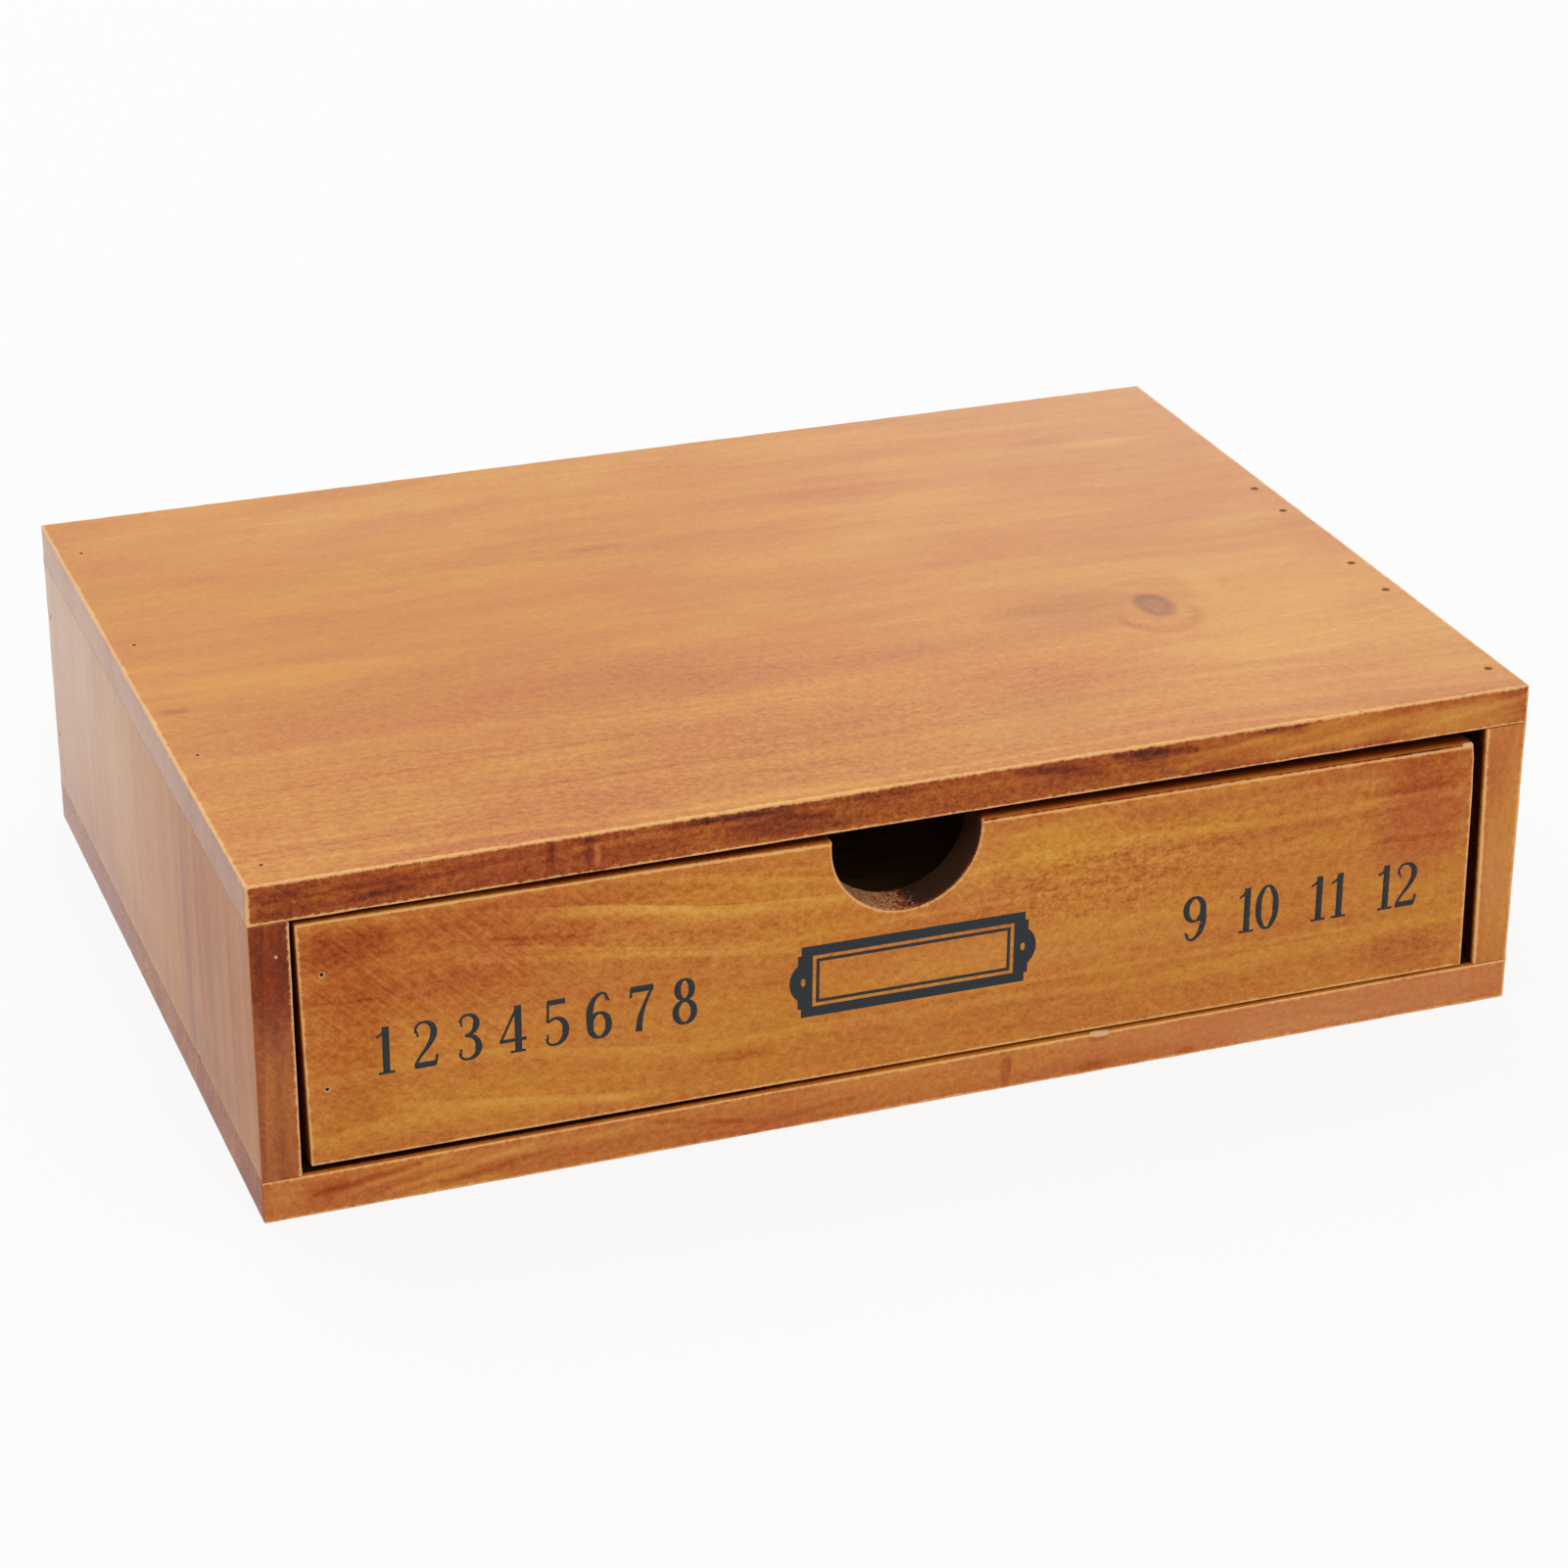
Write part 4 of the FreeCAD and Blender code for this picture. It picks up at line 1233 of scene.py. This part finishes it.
def drawer_board(node, axes, seed, pith, raw, rows, rubbed=("-x", "+x", "-y", "+y", "+z")):
    board = make_board(node, thin_stain(node, axes, seed, pith, raw, rubbed), meets())
    for row, way in rows:
        set_brads(board, row, way, "drawer")
    finish_piece(board, node, "drawer")


drawer_board("drawer_left_side", "yzx", 2.6, (20, -60), "+x", [("drawer_back_nails_left", "-x")])
drawer_board("drawer_right_side", "yzx", 6.2, (55, 60), "-x", [("drawer_back_nails_right", "+x")])
drawer_board("drawer_back", "xzy", 9.7, (70, 50), "-y", [])

# %% Plywood floor of the drawer
def plywood(node):
    """Three plies: the grain of the outer two runs across the drawer, and that of the middle one,
    which only the edges show, from front to back."""
    low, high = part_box(node)
    wood = Wood("plywood_" + node, "x", "y", "z", 12.3)
    wave = wood.rings(-150, -12, 9.0)
    middle = (low.z + high.z) / 2 / MM
    inner = abs(wood.axis["z"] - middle).fade(0.62, 0.5)
    place = wood.vector(wood.axis["x"] / 0.5, wood.axis["y"] / 0.5, wood.axis["z"] / 2)
    fibre = wood.noise(place, detail=3.0)
    tone = wood.streaks(120, 9) * 0.12 + wood.streaks(7, 0.5, shift=4.0) * 0.14 - wave * 0.10 + 0.22
    tone = inner * (fibre * 0.18 + 0.34) + tone
    red = wood.cloud * 0.3 + 0.1
    return wood.stained(tone, red, 0.62, wood.board_arris(low, high, EVERY_END))


drawer_bottom = make_board("drawer_bottom", plywood("drawer_bottom"), meets())
for row in ("drawer_bottom_nails_left", "drawer_bottom_nails_right", "drawer_bottom_nails_back"):
    set_brads(drawer_bottom, row, "-z", "drawer")
finish_piece(drawer_bottom, "drawer_bottom", "drawer")
remove(OPEN_PUNCH, FILLED_PUNCH)

# %% [markdown]
# The front is printed: a card frame in the middle and a line of figures on either side, like the
# scale of a dial. The ink is a film, so each figure is drawn with a flat pen: a curve whose radius
# swells and thins along the stroke, with a flat strip for its nib, and then given its thickness.

# %% Pen strokes for the numerals
THIN = 0.05
THICK = 0.135


def loop(x, y, wide, high):
    """A closed stroke, thick at its sides and thin above and below."""
    points = []
    for step in range(8):
        angle = math.radians(45 * step)
        width = THIN + (THICK - THIN) * abs(math.cos(angle))
        points.append((x + wide * math.cos(angle), y + high * math.sin(angle), width))
    return points


def turned_round(strokes):
    return [[(0.54 - x, 1.0 - y, width) for x, y, width in stroke] for stroke in strokes]


SIX = [[(0.44, 0.86, THIN), (0.36, 0.965, THIN), (0.22, 0.92, 0.08), (0.09, 0.66, THICK),
        (0.08, 0.33, THICK)], [(0.41, 0.83, 0.12), (0.45, 0.86, 0.12)]]
STROKES = {
    "0": [],
    "1": [[(0.1, 0.8, THIN), (0.2, 0.86, THIN), (0.27, 0.98, THIN)],
          [(0.28, 1.0, THICK), (0.28, 0.0, THICK)], [(0.12, 0.02, THIN), (0.44, 0.02, THIN)]],
    "2": [[(0.09, 0.76, THIN), (0.13, 0.91, THIN), (0.27, 0.97, THIN), (0.42, 0.88, 0.11),
           (0.45, 0.7, THICK), (0.35, 0.47, 0.09), (0.18, 0.25, 0.06), (0.07, 0.06, THIN)],
          [(0.06, 0.06, 0.12), (0.48, 0.06, 0.12)], [(0.47, 0.03, THIN), (0.51, 0.24, THIN)],
          [(0.11, 0.73, 0.12), (0.15, 0.74, 0.12)]],
    "3": [[(0.1, 0.82, THIN), (0.16, 0.94, THIN), (0.27, 0.97, THIN), (0.4, 0.89, 0.1),
           (0.42, 0.74, THICK), (0.34, 0.58, 0.08), (0.2, 0.53, THIN)],
          [(0.2, 0.53, THIN), (0.38, 0.47, 0.09), (0.46, 0.27, THICK), (0.4, 0.09, 0.1),
           (0.25, 0.025, THIN), (0.13, 0.06, THIN), (0.08, 0.18, THIN)],
          [(0.11, 0.8, 0.12), (0.15, 0.8, 0.12)], [(0.09, 0.2, 0.12), (0.13, 0.2, 0.12)]],
    "4": [[(0.36, 0.96, THIN), (0.03, 0.27, THIN)], [(0.01, 0.27, 0.07), (0.54, 0.27, 0.07)],
          [(0.38, 1.0, THICK), (0.38, 0.0, THICK)], [(0.22, 0.02, THIN), (0.52, 0.02, THIN)]],
    "5": [[(0.1, 0.94, 0.11), (0.46, 0.94, 0.11)], [(0.12, 0.98, THIN), (0.1, 0.52, THIN)],
          [(0.1, 0.52, THIN), (0.26, 0.59, 0.06), (0.41, 0.51, 0.11), (0.46, 0.31, THICK),
           (0.39, 0.1, 0.1), (0.24, 0.025, THIN), (0.12, 0.06, THIN), (0.07, 0.18, THIN)],
          [(0.08, 0.2, 0.12), (0.12, 0.2, 0.12)]],
    "6": SIX,
    "7": [[(0.05, 0.93, 0.13), (0.5, 0.93, 0.13)], [(0.06, 0.97, THIN), (0.04, 0.76, THIN)],
          [(0.49, 0.95, THIN), (0.33, 0.6, 0.07), (0.23, 0.3, 0.11), (0.2, 0.01, THICK)]],
    "8": [],
    "9": turned_round(SIX),
}
LOOPS = {
    "0": [loop(0.27, 0.5, 0.19, 0.475)],
    "6": [loop(0.27, 0.29, 0.185, 0.265)],
    "8": [loop(0.27, 0.76, 0.145, 0.215), loop(0.27, 0.27, 0.185, 0.245)],
    "9": [loop(0.27, 0.71, 0.185, 0.265)],
}
INK_THICKNESS = 0.04 * MM
LAYER_STEP = 0.004 * MM
INK_FACE = FRONT_LOW.y - 0.005 * MM

bpy.ops.curve.primitive_bezier_curve_add()
nib = bpy.context.object
nib.name = "nib"
for knot, x in zip(nib.data.splines[0].bezier_points, (-0.5, 0.5)):
    knot.handle_left_type = "VECTOR"
    knot.handle_right_type = "VECTOR"
    knot.co = (x, 0, 0)


def pen_stroke(points, closed):
    """One stroke in the plane, with its width at each point, made a mesh."""
    bpy.ops.object.select_all(action="DESELECT")
    bpy.ops.curve.primitive_bezier_curve_add()
    stroke = bpy.context.object
    stroke.data.twist_mode = "Z_UP"
    stroke.data.bevel_mode = "OBJECT"
    stroke.data.bevel_object = nib
    spline = stroke.data.splines[0]
    spline.bezier_points.add(len(points) - 2)
    spline.use_cyclic_u = closed
    spline.resolution_u = 5
    for knot, (x, y, width) in zip(spline.bezier_points, points):
        knot.co = (x, y, 0)
        knot.radius = width
        knot.handle_left_type = "AUTO"
        knot.handle_right_type = "AUTO"
    bpy.ops.object.convert(target="MESH")
    return stroke


def numeral(figure):
    """All strokes of a figure. Each lies a hair above the one before, so that none share a plane."""
    strokes = [pen_stroke(points, False) for points in STROKES[figure]]
    strokes += [pen_stroke(points, True) for points in LOOPS.get(figure, [])]
    for layer, stroke in enumerate(strokes):
        stroke.location.z = layer * LAYER_STEP
        choose(stroke)
        bpy.ops.object.transform_apply()
    return joined("numeral_" + figure, strokes)


NUMERALS = {figure: numeral(figure) for figure in STROKES}
for figure, drawing in NUMERALS.items():
    print("figure", figure, "has", len(drawing.data.polygons), "faces")

# %% [markdown]
# The ink has worn off in specks and along the fibres, more on the right than on the left. The film
# stands five thousandths of a millimetre off the wood, so that the two never lie in one plane.

# %% Printed figures
def ink(name, wear):
    """Blue-black ink with holes where it has worn away."""
    wood = Wood(name, "x", "z", "y", 14.1)
    place = wood.vector(wood.along / 0.55, wood.across / 0.32, 0.0)
    speck = wood.noise(place, detail=4.0, roughness=0.65)
    patch = wood.noise(wood.vector(wood.along / 9, wood.across / 3, 0.0))
    shade = wood.blend(speck.fade(-0.3, 0.6), (0.017, 0.022, 0.026, 1.0), (0.034, 0.038, 0.042, 1.0))
    cover = (speck + patch * 0.35).fade(1.0 - wear, 0.72 - wear)
    return wood.finish({"Base Color": shade, "Roughness": speck * 0.1 + 0.55, "Alpha": cover, "IOR": 1.3})


def print_on_front(piece, material):
    """Turns a film of ink onto the front. It was made lying flat, with its upper face at z = 0."""
    for vertex in piece.data.vertices:
        x, up, depth = vertex.co
        vertex.co = (x, INK_FACE - INK_THICKNESS - depth, up)
    piece.data.materials.append(material)
    with editing(piece):
        face_outwards()
    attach(piece, "drawer")
    print(piece.name, "has", len(piece.data.polygons), "faces")


FIGURE_HEIGHT = 9.8
FIGURE_WIDTHS = {figure: 0.46 if figure == "1" else 0.56 for figure in STROKES}
PRINT_TILT = math.tan(math.radians(-0.5))


def number_line(name, text, start, end, base, material):
    """A row of numbers between two places, in millimetres from the left end and the table."""
    taken = sum(FIGURE_WIDTHS.get(figure, 0.0) for figure in text) * FIGURE_HEIGHT
    space = (end - start - taken) / text.count(" ")
    x = start
    figures = []
    for figure in text:
        if figure == " ":
            x += space
            continue
        copied = copy_of(NUMERALS[figure])
        foot = base + (x - start) * PRINT_TILT
        for vertex in copied.data.vertices:
            across, up, layer = vertex.co
            across = (x + across * FIGURE_HEIGHT) * MM + CASE_LOW.x
            vertex.co = (across, (foot + up * FIGURE_HEIGHT) * MM, layer)
        figures.append(copied)
        x += FIGURE_WIDTHS[figure] * FIGURE_HEIGHT
    line = joined(name, figures)
    apply(line, "SOLIDIFY", thickness=INK_THICKNESS, offset=-1.0)
    print_on_front(line, material)


number_line("printed_numbers_left", "1 2 3 4 5 6 7 8", 21.9, 85.6, 27.2, ink("ink_left", 0.42))
number_line("printed_numbers_right", "9 10 11 12", 186.1, 238.2, 25.5, ink("ink_right", 0.62))
remove(nib, *NUMERALS.values())

# %% Printed card frame
def slab(x, wide, high):
    """A flat block in the plane, by its middle on the centre line and its size in millimetres."""
    corner = Vector((wide / 2, high / 2, 1))
    middle = Vector((x, 0, 0))
    return add_blank("slab", (middle - corner) * MM, (middle + corner) * MM)


def disc(x, radius, squash):
    """A flat disc on the centre line, which can be narrower than it is high."""
    bpy.ops.object.select_all(action="DESELECT")
    bpy.ops.mesh.primitive_cylinder_add(
        vertices=48, radius=radius * MM, depth=2 * MM, location=(x * MM, 0, 0))
    flat = bpy.context.object
    flat.scale = (squash, 1.0, 1.0)
    bpy.ops.object.transform_apply()
    return flat


def combine(piece, other, operation):
    apply(piece, "BOOLEAN", object=other, operation=operation, solver="EXACT")
    remove(other)


FRAME_MIDDLE = (129.3, 31.0)
FRAME_OUTSIDE = (46.2, 15.1)
FRAME_INSIDE = (41.6, 10.9)
LINE_OUTSIDE = (40.1, 9.4)
LINE_INSIDE = (38.8, 8.1)
card_frame = slab(0, *FRAME_OUTSIDE)
for side in (-1, 1):
    combine(card_frame, disc(side * 20.6, 4.9, 1.0), "UNION")
    combine(card_frame, slab(side * 23.0, 1.6, 11.4), "UNION")
combine(card_frame, slab(0, *FRAME_INSIDE), "DIFFERENCE")
for side in (-1, 1):
    combine(card_frame, disc(side * 22.7, 0.85, 0.55), "DIFFERENCE")
fine_line = slab(0, *LINE_OUTSIDE)
combine(fine_line, slab(0, *LINE_INSIDE), "DIFFERENCE")
card_frame = joined("printed_card_frame", [card_frame, fine_line])
card_frame.rotation_euler = (0, 0, math.radians(-0.4))
card_frame.scale = (1.0, 1.0, INK_THICKNESS / (2 * MM))
card_frame.location = (FRAME_MIDDLE[0] * MM + CASE_LOW.x, FRAME_MIDDLE[1] * MM, -INK_THICKNESS / 2)
choose(card_frame)
bpy.ops.object.transform_apply()
print_on_front(card_frame, ink("ink_frame", 0.48))
